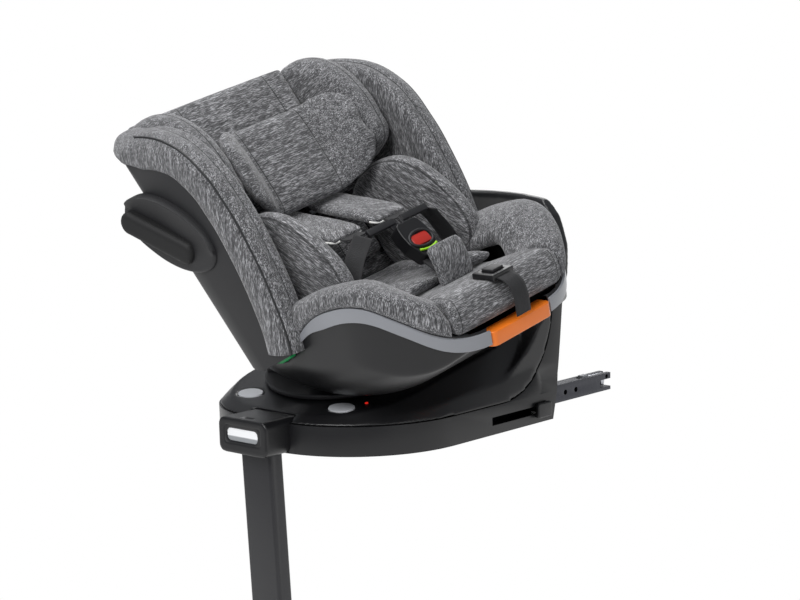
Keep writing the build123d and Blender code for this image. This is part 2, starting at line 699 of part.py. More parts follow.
def trim_band():
    """Wavy band that runs round the tub's rim under the cushion."""
    edge = list(BAND_TOP)
    lower = [(x + 3, z - TRIM_HIGH * min(1.0, 0.1 + i * 0.3)) for i, (x, z) in enumerate(edge)]
    ring = pan_plan(TRIM_THICK) - pan_plan(0)
    reach = PAN_HALF + 9
    above = curved_y(edge, [(330, 240), (73, 240)], -reach, reach)
    below = curved_y(lower, [(333, -60), (60, -60), (60, 101)], -reach, reach)
    band = (ring & box(BAND_TOP[0][0] + 1, 330, -reach, reach, 60, 240)) - above - below
    band -= handle_slot()
    return band


HANDLE_HALF = 64.0
HANDLE_LOW = 83.0
HANDLE_HIGH = 103.5
HANDLE_BACK = 296.0
HANDLE_FRONT = 321.0
HANDLE_TRAVEL = 7.0


def handle_slot():
    """Room for the recline handle over its travel."""
    return box(HANDLE_BACK - SOFT_GAP, 340, -HANDLE_HALF - SOFT_GAP, HANDLE_HALF + SOFT_GAP,
               HANDLE_LOW - SOFT_GAP, HANDLE_HIGH + HANDLE_TRAVEL + SOFT_GAP)


def recline_handle():
    """Pull handle at the front of the tub that frees the recline."""
    body = box(HANDLE_BACK, HANDLE_FRONT, -HANDLE_HALF, HANDLE_HALF, HANDLE_LOW, HANDLE_HIGH)
    body = fillet(body.edges().filter_by(Axis.Z).sort_by(Axis.X)[-2:], 10)
    body -= box(HANDLE_BACK + 6, HANDLE_FRONT - 6, -HANDLE_HALF + 8, HANDLE_HALF - 8, 0, HANDLE_LOW + 12)
    return body


def belt_guide(side):
    """Guide for the vehicle belt, in the corner between wing and bowl."""
    y0, y1 = sorted((side * (PAN_HALF + TRIM_THICK + 0.5), side * (BACK_HALF - SHELL_WALL)))
    points = [(28, 84), (62, 88), (80, 98), (78, 112), (52, 108), (30, 98)]
    return across_y(points, y0, y1)


def headrest_rails():
    """Two steel guide tubes of the headrest, in end blocks on the shell."""
    rails = []
    a = math.radians(BACK_ANGLE)
    up = (-math.sin(a), 0, math.cos(a))
    for side in (-1, 1):
        x, z = back_point(RAIL_N, HEAD_LOW - 20)
        rail = rod(RAIL_R, (x, side * RAIL_Y, z), up, BACK_LONG - HEAD_LOW + 14)
        for w in (HEAD_LOW - 24, BACK_LONG - 10):
            rail += back_box(SHELL_WALL, RAIL_N + RAIL_R + 1, side * RAIL_Y - 8, side * RAIL_Y + 8, w, w + 8)
        rails.append(rail)
    return Compound(rails)


# ================= padding =================

FOAM_TOP = [(-30, 82), (60, 92), (150, 106), (240, 116), (290, 116)]
CUSHION_TOP = [(-12, 112), (60, 114), (130, 124), (200, 140), (255, 156), (285, 161), (305, 157), (316, 146),
               (318, 130), (315, 118)]
BOLSTER_TOP = [(40, 112), (50, 138), (68, 158), (90, 172), (118, 184), (148, 194), (184, 202), (215, 202),
               (244, 193), (268, 176), (288, 160), (304, 142), (314, 128)]
CUSHION_HALF = 118.0


def pan_foam():
    """Energy-absorbing foam block in the bowl under the cushion, cut away below its front."""
    body = pan_solid(SHELL_WALL + SOFT_GAP, -80.0)
    points = [(-140, -40), (-140, 60)] + FOAM_TOP + [(HANDLE_BACK - 3, 116), (HANDLE_BACK - 3, -40)]
    return body & across_y(points, -PAN_HALF, PAN_HALF)


def seat_cushion():
    """Middle of the seat cushion, wrapped over the front of the bowl."""
    low = [(x, z + SOFT_GAP) for x, z in FOAM_TOP]
    body = across_y(CUSHION_TOP + list(reversed(low)), -CUSHION_HALF, CUSHION_HALF)
    body &= pan_plan(1.5)
    return body - pan_shell()


def rim_room():
    """The tub's rim and everything under it, outside the bowl's hollow."""
    rim = [(x, z + RIM_STEP) for x, z in BAND_TOP]
    reach = PAN_HALF + 9
    below = curved_y(rim, [(340, 0), (30, 0), (30, 100)], -reach, reach)
    return (pan_plan(6) - pan_plan(-SHELL_WALL - SOFT_GAP)) & below


def bolster(side):
    """Raised thigh bolster on the tub's rim."""
    y0, y1 = sorted((side * (CUSHION_HALF + SOFT_GAP), side * (PAN_HALF + 1)))
    low = [(x, z + SOFT_GAP) for x, z in FOAM_TOP if x > 30]
    body = across_y(BOLSTER_TOP + list(reversed([(40, 92)] + low)), y0, y1)
    body &= pan_plan(1.0)
    return body - rim_room() - pan_shell() - side_support(side, SOFT_GAP)


def wing_pad(side):
    """Padded lining of a side wing."""
    y0, y1 = sorted((side * WING_PAD_IN, side * (BACK_HALF - SHELL_WALL - SOFT_GAP)))
    body = wing_slab(y0, y1) & back_solid(SHELL_WALL + SOFT_GAP)
    return body - belt_room(side)


WING_PAD_IN = 184.0


def belt_room(side):
    """Room for the bowl, its bolster and the belt guide at the foot of the wing."""
    y0, y1 = sorted((side * (PAN_HALF + TRIM_THICK + SOFT_GAP), side * 100))
    bowl = across_y([(-140, -60), (-140, 210), (20, 104), (30, 104), (38, 116), (50, 142), (68, 162), (90, 176),
                     (200, 210), (330, 210), (330, -60)], y0, y1)
    g0, g1 = sorted((side * PAN_HALF, side * BACK_HALF))
    return bowl + across_y([(0, 60), (120, 60), (120, 114), (50, 114), (10, 104)], g0, g1)


def back_cushion():
    """Back cushion below the headrest, and the thin lining behind it between the rails."""
    top = HEAD_LOW - 26
    body = back_box(SHELL_WALL + SOFT_GAP, 30, -168, 168, 30, top)
    inner = SHELL_WALL + SOFT_GAP
    pads = [body & back_section(inner, 300, BACK_HALF - inner, BACK_CORNER - inner)]
    for y0, y1 in ((-140, -74), (-46, 46), (74, 140)):
        pads.append(back_box(inner, 8.5, y0, y1, HEAD_LOW + 4, BACK_LONG - 14))
    return Compound(pads)


INSERT_HALF = 92.0
SIDE_PAD_WIDE = 32.0       # thickness of the side supports beside the child's trunk
SIDE_PAD = [(30.3, 30), (60, 10), (110, -8), (150, -22), (205, -30), (222, 0), (224, 30), (216, 66),
            (203, 100), (186, 128), (163, 150), (130, 164), (95, 169), (60, 164), (30.3, 150)]


def side_support(side, grow):
    """Padded side support from the back to the thigh bolster, grown by a clearance."""
    start = CUSHION_HALF + SOFT_GAP
    y0, y1 = sorted((side * start, side * (start + SIDE_PAD_WIDE + grow)))
    return back_slab(SIDE_PAD, y0, y1)


def body_insert():
    """Newborn insert: back pad, two side supports and a small seat pad."""
    pad = back_box(30.3, 52, -CUSHION_HALF, CUSHION_HALF, 52, HEAD_LOW - 28)
    pieces = [pad, side_support(-1, 0), side_support(1, 0)]
    low = [(x, z + SOFT_GAP) for x, z in CUSHION_TOP[:4]]
    high = [(200, 158), (130, 148), (60, 140), (22, 140)]
    points = [(20, 113.7)] + low[1:] + high
    seat = across_y(points, -INSERT_HALF, INSERT_HALF)
    return Compound(pieces + [seat - pad])


# ================= headrest =================

def headrest_frame():
    """Plate of the headrest with two bushes that run on the rails."""
    plate = back_box(HEAD_BACK, HEAD_BACK + 5, -120, 120, HEAD_LOW + 4, HEAD_HIGH - 6)
    for side in (-1, 1):
        y = side * RAIL_Y
        plate += back_box(RAIL_N - 6.2, HEAD_BACK, y - 9, y + 9, HEAD_LOW + 6, HEAD_LOW + 34)
    a = math.radians(BACK_ANGLE)
    x, z = back_point(RAIL_N, 0)
    for side in (-1, 1):
        plate -= rod(RAIL_R + SHAFT_FIT, (x, side * RAIL_Y, z), (-math.sin(a), 0, math.cos(a)), 600)
    return plate


HEAD_SIDE = [(HEAD_BACK + 5.3, HEAD_LOW), (60, HEAD_LOW), (120, HEAD_LOW + 4), (146, HEAD_LOW + 16),
             (152, HEAD_LOW + 50), (150, HEAD_LOW + 96), (138, HEAD_LOW + 132), (112, HEAD_LOW + 166),
             (80, HEAD_LOW + 186), (HEAD_BACK + 5.3, HEAD_HIGH + 4)]
HEAD_WING = 44.0


def headrest_pad():
    """Middle cushion of the headrest."""
    half = HEAD_HALF - HEAD_WING
    return back_slab([(HEAD_BACK + 5.3, HEAD_LOW), (56, HEAD_LOW), (58, HEAD_HIGH - 30), (50, HEAD_HIGH + 2),
                      (HEAD_BACK + 5.3, HEAD_HIGH + 4)], -half, half)


def headrest_wing(side):
    """Side wing of the headrest."""
    y0, y1 = sorted((side * (HEAD_HALF - HEAD_WING + SOFT_GAP), side * HEAD_HALF))
    return back_slab(HEAD_SIDE, y0, y1)


def head_pillow():
    """Newborn pillow on the headrest: a middle panel and two side panels."""
    middle = back_slab([(56.4, 184), (84, 166), (97, 153), (104, 166), (106, 215), (102, 262), (88, 286),
                        (70, 296), (57.8, 298)], -62, 62)
    panels = [middle]
    for side in (-1, 1):
        y0, y1 = sorted((side * 62.3, side * 128))
        panels.append(back_slab([(56.4, 184), (104, 173), (130, 177), (150, 198), (156, 222), (148, 250), (122, 276),
                                 (92, 290), (57.8, 290)], y0, y1))
    return Compound(panels)


def headrest_lever():
    """Lever on top of the headrest that frees its height."""
    return back_box(HEAD_BACK - 12, HEAD_BACK - 0.4, -34, 34, HEAD_HIGH - 34, HEAD_HIGH - 8)


# ================= harness =================

WEB = 38.0                 # webbing width
WEB_THICK = 1.6


def ribbon(points, low, high, thick=WEB_THICK):
    """Flat webbing along (x, z) points, carried across y."""
    upper, lower = [], []
    for i, (x, z) in enumerate(points):
        x0, z0 = points[max(i - 1, 0)]
        x1, z1 = points[min(i + 1, len(points) - 1)]
        length = math.hypot(x1 - x0, z1 - z0)
        nx, nz = -(z1 - z0) / length * thick / 2, (x1 - x0) / length * thick / 2
        upper.append((x + nx, z + nz))
        lower.append((x - nx, z - nz))
    return across_y(upper + list(reversed(lower)), low, high)


PAD_Y = 46.0
BUCKLE_X = 150.0
BUCKLE_Z = 199.0
BUCKLE_TILT = -45.0
BUCKLE_WIDE = 52.0
BUCKLE_LONG = 62.0
BUCKLE_DEEP = 22.0
BUCKLE = Location((BUCKLE_X, 0, BUCKLE_Z), (0, BUCKLE_TILT, 0))


def strap_path():
    """Shoulder webbing from its slot in the back to the buckle's tongue, (n, w)."""
    return [(32, 158), (62, 158), (90, 134), (130, 104), (176, 68), (206, 58)]


def shoulder_straps():
    """Two shoulder straps."""
    points = [back_point(n, w) for n, w in strap_path()]
    straps = [ribbon(points, s * PAD_Y - WEB / 2, s * PAD_Y + WEB / 2) for s in (-1, 1)]
    return Compound(straps) - body_insert() - back_cushion()


def shoulder_pad(side):
    """Soft pad around one shoulder strap."""
    path = [back_point(n, w) for n, w in strap_path()[1:5]]
    body = ribbon(path, side * PAD_Y - 32, side * PAD_Y + 32, 15)
    return body - ribbon([back_point(n, w) for n, w in strap_path()], side * PAD_Y - WEB / 2 - 0.3,
                         side * PAD_Y + WEB / 2 + 0.3, WEB_THICK + 0.6) - body_insert()


def buckle_body():
    """Housing of the harness buckle."""
    body = box(-BUCKLE_DEEP / 2, BUCKLE_DEEP / 2, -BUCKLE_WIDE / 2, BUCKLE_WIDE / 2, -BUCKLE_LONG / 2,
               BUCKLE_LONG / 2)
    body = fillet(body.edges().filter_by(Axis.X), 7)
    body -= box(BUCKLE_DEEP / 2 - 7, BUCKLE_DEEP / 2 + 1, -17.4, 17.4, -12.4, 6.4)
    for side in (-1, 1):
        body -= box(-3, 3, side * 12 - 9, side * 12 + 9, BUCKLE_LONG / 2 - 16, BUCKLE_LONG / 2 + 1)
    return BUCKLE * body


def buckle_button():
    """Red release button of the buckle."""
    return BUCKLE * box(BUCKLE_DEEP / 2 - 4, BUCKLE_DEEP / 2 + 1.2, -17, 17, -12, 6)


def buckle_tongues():
    """Two tongues that plug into the buckle, joined to the shoulder and lap straps."""
    tongues = []
    for side in (-1, 1):
        blade = box(-1.2, 1.2, side * 12 - 8, side * 12 + 8, BUCKLE_LONG / 2 - 15, BUCKLE_LONG / 2 + 14)
        y0, y1 = sorted((side * 8, side * 62))
        head = box(-3, 3, y0, y1, BUCKLE_LONG / 2 + 6, BUCKLE_LONG / 2 + 16)
        tongues.append(BUCKLE * (blade + head))
    return Compound(tongues)


def lap_straps():
    """Two lap straps from the tongues to the tub's sides."""
    straps = []
    for side in (-1, 1):
        plane = Plane(origin=(96, 0, 0), x_dir=(0, 1, 0), z_dir=(1, 0, 0))
        pts = [(side * 67, 224), (side * 90, 200), (side * 110, 168), (side * CUSHION_HALF, 134)]
        upper = [(y, z) for y, z in pts]
        lower = [(y - side * 1.6, z - 1.2) for y, z in pts]
        straps.append(extrude(plane * outline(upper + list(reversed(lower))), WEB))
    return Compound(straps) - body_insert()


def crotch_strap():
    """Strap that holds the buckle to the tub between the legs."""
    path = [(205, 142), (203.2, 158), (190, 170), (174, 178)]
    return ribbon(path, -WEB / 2, WEB / 2, 2.4)


def crotch_pad():
    """Soft pad on the crotch strap under the buckle."""
    path = [(215, 145.8), (212, 166), (205.5, 186), (196, 203)]
    return ribbon(path, -34, 34, 13)


def adjuster_housing():
    """Frame of the harness adjuster at the front of the cushion."""
    body = box(262, 300, -22, 22, 158, 168)
    body -= box(270, 292, -12, 12, 162.5, 169)
    return body - seat_cushion()


def adjuster_button():
    """Lever of the harness adjuster."""
    return box(271, 291, -11.5, 11.5, 165.3, 171.8)


def adjuster_strap():
    """Webbing tail that tightens the harness."""
    path = [(301, 161.5), (312, 158), (322, 146), (324.5, 126), (324, 108)]
    return ribbon(path, -15, 15, 1.8)


# ================= write the nodes =================

tray, cover = base_pieces()
save("base_tray", tray)
save("base_cover", cover)
save("leg_socket", leg_socket())
save("leg_window", leg_window())
save("leg_hinge_pin", leg_pin())
save("isofix_rails", isofix_rails())
save("bearing_race", bearing_race())
save("spin_post", spin_post())
save("housing_screws", housing_screws())
save("base_pads", base_pads())
save("status_lamp", rod(2.4, (LAMP_X, LAMP_Y, -4), (0, 0, 1), 4.4))
for word, sign in (("left", -1), ("right", 1)):
    save("rotation_button_" + word, button_solid(sign * BUTTON_X, 0, -5, 1.2))
    save("latch_hook_" + word, latch_hook(sign))
    save("latch_release_" + word, latch_release(sign))
save("isofix_arms", isofix_arms())
save("isofix_knobs", isofix_knobs())
save("leg_outer_tube", leg_outer())
save("leg_collar", leg_collar())
save("leg_button", leg_button())
save("leg_inner_tube", leg_inner())
save("leg_foot", leg_foot())

save("turntable", turntable())
save("bearing_balls", bearing_balls())
save("recline_cradle", recline_cradle())

save("back_shell", back_shell())
save("pan_shell", pan_shell())
save("recline_runners", recline_runners())
save("trim_band", trim_band())
save("pan_foam", pan_foam())
save("recline_handle", recline_handle())
save("headrest_rails", headrest_rails())
save("seat_cushion", seat_cushion())
save("back_cushion", back_cushion())
save("body_insert", body_insert())
save("side_pods", Compound([side_pod(-1), side_pod(1)]))
save("belt_guides", Compound([belt_guide(-1), belt_guide(1)]))
save("shoulder_pads", Compound([shoulder_pad(-1), shoulder_pad(1)]))
for word, sign in (("left", 1), ("right", -1)):
    save("bolster_" + word, bolster(sign))
    save("wing_pad_" + word, wing_pad(sign))
    save("headrest_wing_" + word, headrest_wing(sign))

save("headrest_frame", headrest_frame())
save("headrest_pad", headrest_pad())
save("head_pillow", head_pillow())
save("headrest_lever", headrest_lever())

save("shoulder_straps", shoulder_straps())
save("lap_straps", lap_straps())
save("crotch_strap", crotch_strap())
save("crotch_pad", crotch_pad())
save("buckle_body", buckle_body())
save("buckle_button", buckle_button())
save("buckle_tongues", buckle_tongues())
save("adjuster_housing", adjuster_housing())
save("adjuster_button", adjuster_button())
save("adjuster_strap", adjuster_strap())
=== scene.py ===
import math

import bpy
import numpy as np
from mathutils import Matrix, Vector


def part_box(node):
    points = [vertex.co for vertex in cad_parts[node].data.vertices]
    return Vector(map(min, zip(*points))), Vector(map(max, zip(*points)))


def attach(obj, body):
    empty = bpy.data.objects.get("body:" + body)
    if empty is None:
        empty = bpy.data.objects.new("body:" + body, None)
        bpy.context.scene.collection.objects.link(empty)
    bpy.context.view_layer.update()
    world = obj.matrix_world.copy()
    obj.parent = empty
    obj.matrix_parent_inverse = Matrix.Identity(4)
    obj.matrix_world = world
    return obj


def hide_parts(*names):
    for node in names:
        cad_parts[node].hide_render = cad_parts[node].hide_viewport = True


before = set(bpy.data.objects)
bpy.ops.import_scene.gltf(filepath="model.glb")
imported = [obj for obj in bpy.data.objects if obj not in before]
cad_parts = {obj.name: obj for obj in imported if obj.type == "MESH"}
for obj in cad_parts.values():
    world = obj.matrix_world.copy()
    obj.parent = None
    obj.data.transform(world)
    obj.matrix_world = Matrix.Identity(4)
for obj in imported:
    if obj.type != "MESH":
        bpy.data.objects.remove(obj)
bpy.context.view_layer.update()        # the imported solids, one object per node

mm = 0.001

# ---------------------------------------------------------------------------
# Camera, floor and lamps. A long lens looks down on the seat from its front
# right; the floor is pale and the lamps are large and soft.
# ---------------------------------------------------------------------------


def rgb(code):
    """Linear colour of an sRGB hex code."""
    parts = [int(code[i:i + 2], 16) / 255 for i in (1, 3, 5)]
    return [c / 12.92 if c <= 0.04045 else ((c + 0.055) / 1.055) ** 2.4 for c in parts] + [1.0]


def add(tree, kind, inputs=None, links=None, **settings):
    """Adds one node with its settings, its sockets' values and its links."""
    node = tree.nodes.new(kind)
    for key, value in settings.items():
        setattr(node, key, value)
    for key, value in (inputs or {}).items():
        node.inputs[key].default_value = value
    for key, source in (links or {}).items():
        tree.links.new(source, node.inputs[key])
    return node


def start_material(name):
    """An empty material with its output node."""
    material = bpy.data.materials.new(name)
    material.use_nodes = True
    material.node_tree.nodes.clear()
    return material, material.node_tree, material.node_tree.nodes.new("ShaderNodeOutputMaterial")


def white_where_seen(tree, output, other_ray, lit, white):
    """Shows plain white to the camera and one other kind of ray, and the lit side to the rest."""
    path = add(tree, "ShaderNodeLightPath")
    seen = add(tree, "ShaderNodeMath", {},
               {0: path.outputs["Is Camera Ray"], 1: path.outputs[other_ray]}, operation="MAXIMUM")
    mixed = add(tree, "ShaderNodeMixShader", {},
                {0: seen.outputs[0], 1: lit.outputs[0], 2: white.outputs[0]})
    tree.links.new(mixed.outputs[0], output.inputs[0])


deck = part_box("bearing_race")[0].z      # the turntable's race lies on the deck

turn, lift, roll = math.radians(46.11), math.radians(19.19), math.radians(10.81)
right = Vector((math.cos(turn), math.sin(turn), 0))
up = Vector((-math.sin(turn) * math.sin(lift), math.cos(turn) * math.sin(lift), math.cos(lift)))
away = Vector((math.sin(turn) * math.cos(lift), -math.cos(turn) * math.cos(lift), math.sin(lift)))
tilted_right = right * math.cos(roll) - up * math.sin(roll)
tilted_up = right * math.sin(roll) + up * math.cos(roll)
bpy.ops.object.camera_add()
camera = bpy.context.object
camera.name = "camera"
camera_distance = 3.0
camera.matrix_world = Matrix((tilted_right, tilted_up, away)).transposed().to_4x4()
camera.matrix_world.translation = away * camera_distance + Vector((0, 0, deck))
camera.data.lens = 91.8
camera.data.shift_x = 0.0457
camera.data.shift_y = 0.0793
camera.data.clip_end = 50
bpy.context.scene.camera = camera
bpy.context.scene.view_settings.view_transform = "Standard"

foot_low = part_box("leg_foot")[0].z
bpy.ops.mesh.primitive_plane_add(size=14, location=(0, 0, foot_low - 0.001))
floor = bpy.context.object
floor.name = "floor"
material, tree, output = start_material("matt_white_floor")
matt = add(tree, "ShaderNodeBsdfDiffuse", {"Color": rgb("#f2f2f2")})
white = add(tree, "ShaderNodeEmission", {"Color": (1, 1, 1, 1), "Strength": 1.0})
white_where_seen(tree, output, "Is Glossy Ray", matt, white)
floor.data.materials.append(material)

world = bpy.data.worlds.new("studio")
bpy.context.scene.world = world
world.use_nodes = True
tree = world.node_tree
tree.nodes.clear()
output = tree.nodes.new("ShaderNodeOutputWorld")
soft = add(tree, "ShaderNodeBackground", {"Color": rgb("#e8ebf0"), "Strength": 0.31})
white = add(tree, "ShaderNodeBackground", {"Color": (1, 1, 1, 1), "Strength": 1.0})
white_where_seen(tree, output, "Is Transmission Ray", soft, white)

seat_middle = Vector((0, 0, 0.25))
for lamp_name, place, size, power in (
        ("key_lamp", (0.6, -1.9, 2.4), 1.5, 60),
        ("top_lamp", (-0.6, 0.3, 2.7), 2.0, 50),
        ("front_lamp", (2.4, -0.2, 1.1), 1.4, 7),
        ("rim_lamp", (-1.4, 2.2, 1.2), 1.2, 14)):
    bpy.ops.object.light_add(type="AREA", location=place)
    lamp = bpy.context.object
    lamp.name = lamp_name
    lamp.data.size = size
    lamp.data.energy = power
    lamp.rotation_euler = (seat_middle - Vector(place)).to_track_quat("-Z", "Y").to_euler()

# ---------------------------------------------------------------------------
# Base housing: two injection-moulded polypropylene halves. The cover has a
# fine satin spark-eroded grain and rises behind the deck into the rebound bar;
# the tray is the same plastic and closes it from below along a thin seam.
# ---------------------------------------------------------------------------


def shaded(colour, share):
    """A hex colour made darker or lighter by a share."""
    return [c * share for c in rgb(colour)[:3]] + [1]


def moulded(name, colour, rough, grain=0.35, grain_size=1.2, coat=0.0):
    """Moulded plastic: a spark-eroded grain with faint colour and gloss drift over the piece."""
    material, tree, output = start_material(name)
    where = add(tree, "ShaderNodeTexCoord").outputs["Object"]
    pits = add(tree, "ShaderNodeTexNoise", {"Scale": 1 / (grain_size * mm), "Detail": 2.0, "Roughness": 0.6},
               {"Vector": where})
    drift = add(tree, "ShaderNodeTexNoise", {"Scale": 9.0, "Detail": 3.0}, {"Vector": where})
    tint = add(tree, "ShaderNodeMix", {"A": shaded(colour, 0.86), "B": shaded(colour, 1.16)},
               {"Factor": drift.outputs[0]}, data_type="RGBA")
    gloss = add(tree, "ShaderNodeMapRange", {"To Min": rough - 0.07, "To Max": rough + 0.08},
                {"Value": drift.outputs[0]})
    bump = add(tree, "ShaderNodeBump", {"Strength": grain, "Distance": 0.0003}, {"Height": pits.outputs[0]})
    shader = add(tree, "ShaderNodeBsdfPrincipled", {"IOR": 1.49, "Coat Weight": coat},
                 {"Base Color": tint.outputs["Result"], "Roughness": gloss.outputs[0],
                  "Normal": bump.outputs[0]})
    tree.links.new(shader.outputs[0], output.inputs[0])
    return material


def only(piece):
    """Selects one object alone and makes it active."""
    bpy.ops.object.select_all(action="DESELECT")
    piece.select_set(True)
    bpy.context.view_layer.objects.active = piece


def placed(name, data):
    """A new object in the scene."""
    piece = bpy.data.objects.new(name, data)
    bpy.context.scene.collection.objects.link(piece)
    return piece


def edit_all(piece, operation, **settings):
    """Runs one mesh operator on everything of one piece."""
    only(piece)
    bpy.ops.object.mode_set(mode="EDIT")
    bpy.ops.mesh.select_all(action="SELECT")
    operation(**settings)
    bpy.ops.object.mode_set(mode="OBJECT")


def copy_of(node, name):
    """A free copy of a solid's skin, its loose triangles merged."""
    piece = placed(name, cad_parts[node].data.copy())
    piece.data.materials.clear()
    edit_all(piece, bpy.ops.mesh.remove_doubles, threshold=0.02 * mm)
    return piece


def apply_modifier(piece, kind, **settings):
    """Adds a modifier and applies it at once."""
    only(piece)
    modifier = piece.modifiers.new("work", kind)
    for key, value in settings.items():
        setattr(modifier, key, value)
    bpy.ops.object.modifier_apply(modifier=modifier.name)


def melted(node, name, voxel, passes, slant=0.0, swell=0.0):
    """A skin, swollen if asked, rebuilt as an even net along a slant about X and eased by smoothing."""
    piece = copy_of(node, name)
    if swell:
        apply_modifier(piece, "DISPLACE", strength=swell * mm, mid_level=0)
    piece.data.transform(Matrix.Rotation(slant, 4, "X"))
    apply_modifier(piece, "REMESH", mode="VOXEL", voxel_size=voxel * mm)
    piece.data.transform(Matrix.Rotation(-slant, 4, "X"))
    apply_modifier(piece, "SMOOTH", factor=0.5, iterations=passes)
    bpy.ops.object.shade_smooth()
    return piece


def crisp(node, name, edge, angle=32):
    """A skin with its sharp edges broken by a narrow round, as a moulding or stamping has."""
    piece = copy_of(node, name)
    edit_all(piece, bpy.ops.mesh.dissolve_limited, angle_limit=math.radians(1.0))
    apply_modifier(piece, "BEVEL", width=edge * mm, segments=3, limit_method="ANGLE",
                   angle_limit=math.radians(angle), harden_normals=False)
    bpy.ops.object.shade_smooth_by_angle(angle=math.radians(40))
    return piece


def paint(piece, material):
    """Gives a piece one material."""
    piece.data.materials.clear()
    piece.data.materials.append(material)


def settle(piece, material, body, slot, *nodes):
    """Gives a finished piece its material and its body, and hides the solids it stands for; slot is not
    used.
    """
    paint(piece, material)
    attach(piece, body)
    if nodes:
        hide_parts(*nodes)


def stand_in(node, name, edge, material, body, slot, angle=32):
    """A crisp copy of one solid, which stands for it."""
    settle(crisp(node, name, edge, angle), material, body, slot, node)


black_pp = moulded("black_polypropylene_satin_grain", "#141416", 0.33, 0.25, 1.0)
charcoal_pp = moulded("charcoal_polypropylene_matt_grain", "#202022", 0.52)
wedge = math.radians(12.5)              # the underside's fall towards the anchor arms
settle(melted("base_cover", "base_cover_moulding", 2.7, 9, wedge, 0.6), black_pp, "base",
       "base_plastic", "base_cover")
stand_in("base_tray", "base_tray_moulding", 1.2, black_pp, "base", "base_plastic", 30)

# ---------------------------------------------------------------------------
# Turntable, cradle and the drive's hidden parts: black nylon and bright steel
# between the deck and the tub. The disc is moulded with a fine matt grain.
# ---------------------------------------------------------------------------
black_nylon = moulded("black_nylon_matt_moulded", "#17171a", 0.5)


def metal(name, colour, rough):
    """Coated or plated steel: streaks in the gloss, 2.5 mm wide and about 33 mm long along Z."""
    material, tree, output = start_material(name)
    where = add(tree, "ShaderNodeTexCoord").outputs["Object"]
    drawn = add(tree, "ShaderNodeMapping", {"Scale": (400, 400, 30)}, {"Vector": where})
    brushed = add(tree, "ShaderNodeTexNoise", {"Scale": 1.0, "Detail": 2.0}, {"Vector": drawn.outputs[0]})
    gloss = add(tree, "ShaderNodeMapRange", {"To Min": rough - 0.08, "To Max": rough + 0.1},
                {"Value": brushed.outputs[0]})
    bump = add(tree, "ShaderNodeBump", {"Strength": 0.2, "Distance": 0.0001}, {"Height": brushed.outputs[0]})
    shader = add(tree, "ShaderNodeBsdfPrincipled", {"Base Color": rgb(colour), "Metallic": 1.0},
                 {"Roughness": gloss.outputs[0], "Normal": bump.outputs[0]})
    tree.links.new(shader.outputs[0], output.inputs[0])
    return material


bright_steel = metal("zinc_plated_steel", "#b9bbc0", 0.34)
dark_steel = metal("black_chromated_steel", "#4a4b50", 0.4)
for node in ("bearing_race", "bearing_balls", "spin_post", "recline_runners", "housing_screws",
             "leg_hinge_pin", "headrest_rails"):
    paint(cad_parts[node], bright_steel)
paint(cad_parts["isofix_rails"], dark_steel)
stand_in("turntable", "turntable_disc", 1.2, black_nylon, "carrier", "base_plastic")
stand_in("recline_cradle", "recline_cradle_moulding", 2.0, black_nylon, "carrier", "base_plastic")

# ---------------------------------------------------------------------------
# Deck controls: two oval push buttons in light grey acetal, and a red lamp
# lens. They are pressed into the deck from below with an even gap round them.
# ---------------------------------------------------------------------------
grey_acetal = moulded("light_grey_acetal_satin", "#b4b6ba", 0.38, 0.15)
for word in ("left", "right"):
    stand_in("rotation_button_" + word, "rotation_button_cap_" + word, 1.2, grey_acetal,
             "rotation_button_" + word, "light_plastic")
# Moulded with small facets inside, so that the lamp's light sparkles and the lens glows a little.
material, tree, output = start_material("red_polycarbonate_lens")
where = add(tree, "ShaderNodeTexCoord").outputs["Object"]
facets = add(tree, "ShaderNodeTexVoronoi", {"Scale": 900.0}, {"Vector": where})
bump = add(tree, "ShaderNodeBump", {"Strength": 0.3, "Distance": 0.0003}, {"Height": facets.outputs[0]})
lens = add(tree, "ShaderNodeBsdfPrincipled",
           {"Base Color": rgb("#c8281e"), "Roughness": 0.15, "IOR": 1.58,
            "Emission Color": rgb("#ff2a1a"), "Emission Strength": 0.6},
           {"Normal": bump.outputs[0]})
tree.links.new(lens.outputs[0], output.inputs[0])
status_lens = crisp("status_lamp", "status_lamp_lens", 0.5)
status_lens.data.transform(Matrix.Translation((0, 0, 1.2 * mm)))        # stands proud of the deck
settle(status_lens, material, "base", "red_plastic", "status_lamp")

# ---------------------------------------------------------------------------
# Support leg: drawn steel tubes, powder coated black, in a moulded hinge
# housing with a pale light panel; collar, height button and rubber foot.
# ---------------------------------------------------------------------------
coated_steel = moulded("black_powder_coated_steel", "#232326", 0.36, 0.5, 0.7)
black_rubber = moulded("black_rubber_moulded", "#151516", 0.72, 0.5, 1.6)
settle(melted("leg_socket", "leg_hinge_housing", 1.4, 12, wedge), black_pp, "base", "base_plastic",
       "leg_socket")
# Frosted and lit from inside, with the glow painted into the colour: near white, with painted shade as a
# grey band low down where less light comes.
material, tree, output = start_material("opal_polycarbonate_panel_painted_glow")
where = add(tree, "ShaderNodeTexCoord").outputs["Object"]
panel_low, panel_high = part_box("leg_window")
panel_mid = (panel_low + panel_high) / 2
panel_net = add(tree, "ShaderNodeMapping", {"Location": panel_mid, "Rotation": (-wedge, 0, 0)},
                {"Vector": where}, vector_type="TEXTURE")
height = add(tree, "ShaderNodeSeparateXYZ", links={0: panel_net.outputs[0]}).outputs["Z"]
# Painted shade: the panel turns grey low down, where less of the inner light comes.
painted_shade_band = add(tree, "ShaderNodeMapRange", {"From Min": -3.2 * mm, "From Max": -1.6 * mm}, {"Value": height})
frost = add(tree, "ShaderNodeTexNoise", {"Scale": 700.0}, {"Vector": where})
bump = add(tree, "ShaderNodeBump", {"Strength": 0.15, "Distance": 0.0003}, {"Height": frost.outputs[0]})
# Painted glow and painted shade: near white over most of the panel, grey low down.
painted_glow_and_shade = add(tree, "ShaderNodeMix", {"A": rgb("#8d9093"), "B": rgb("#f4f5f6")}, {"Factor": painted_shade_band.outputs[0]},
           data_type="RGBA")
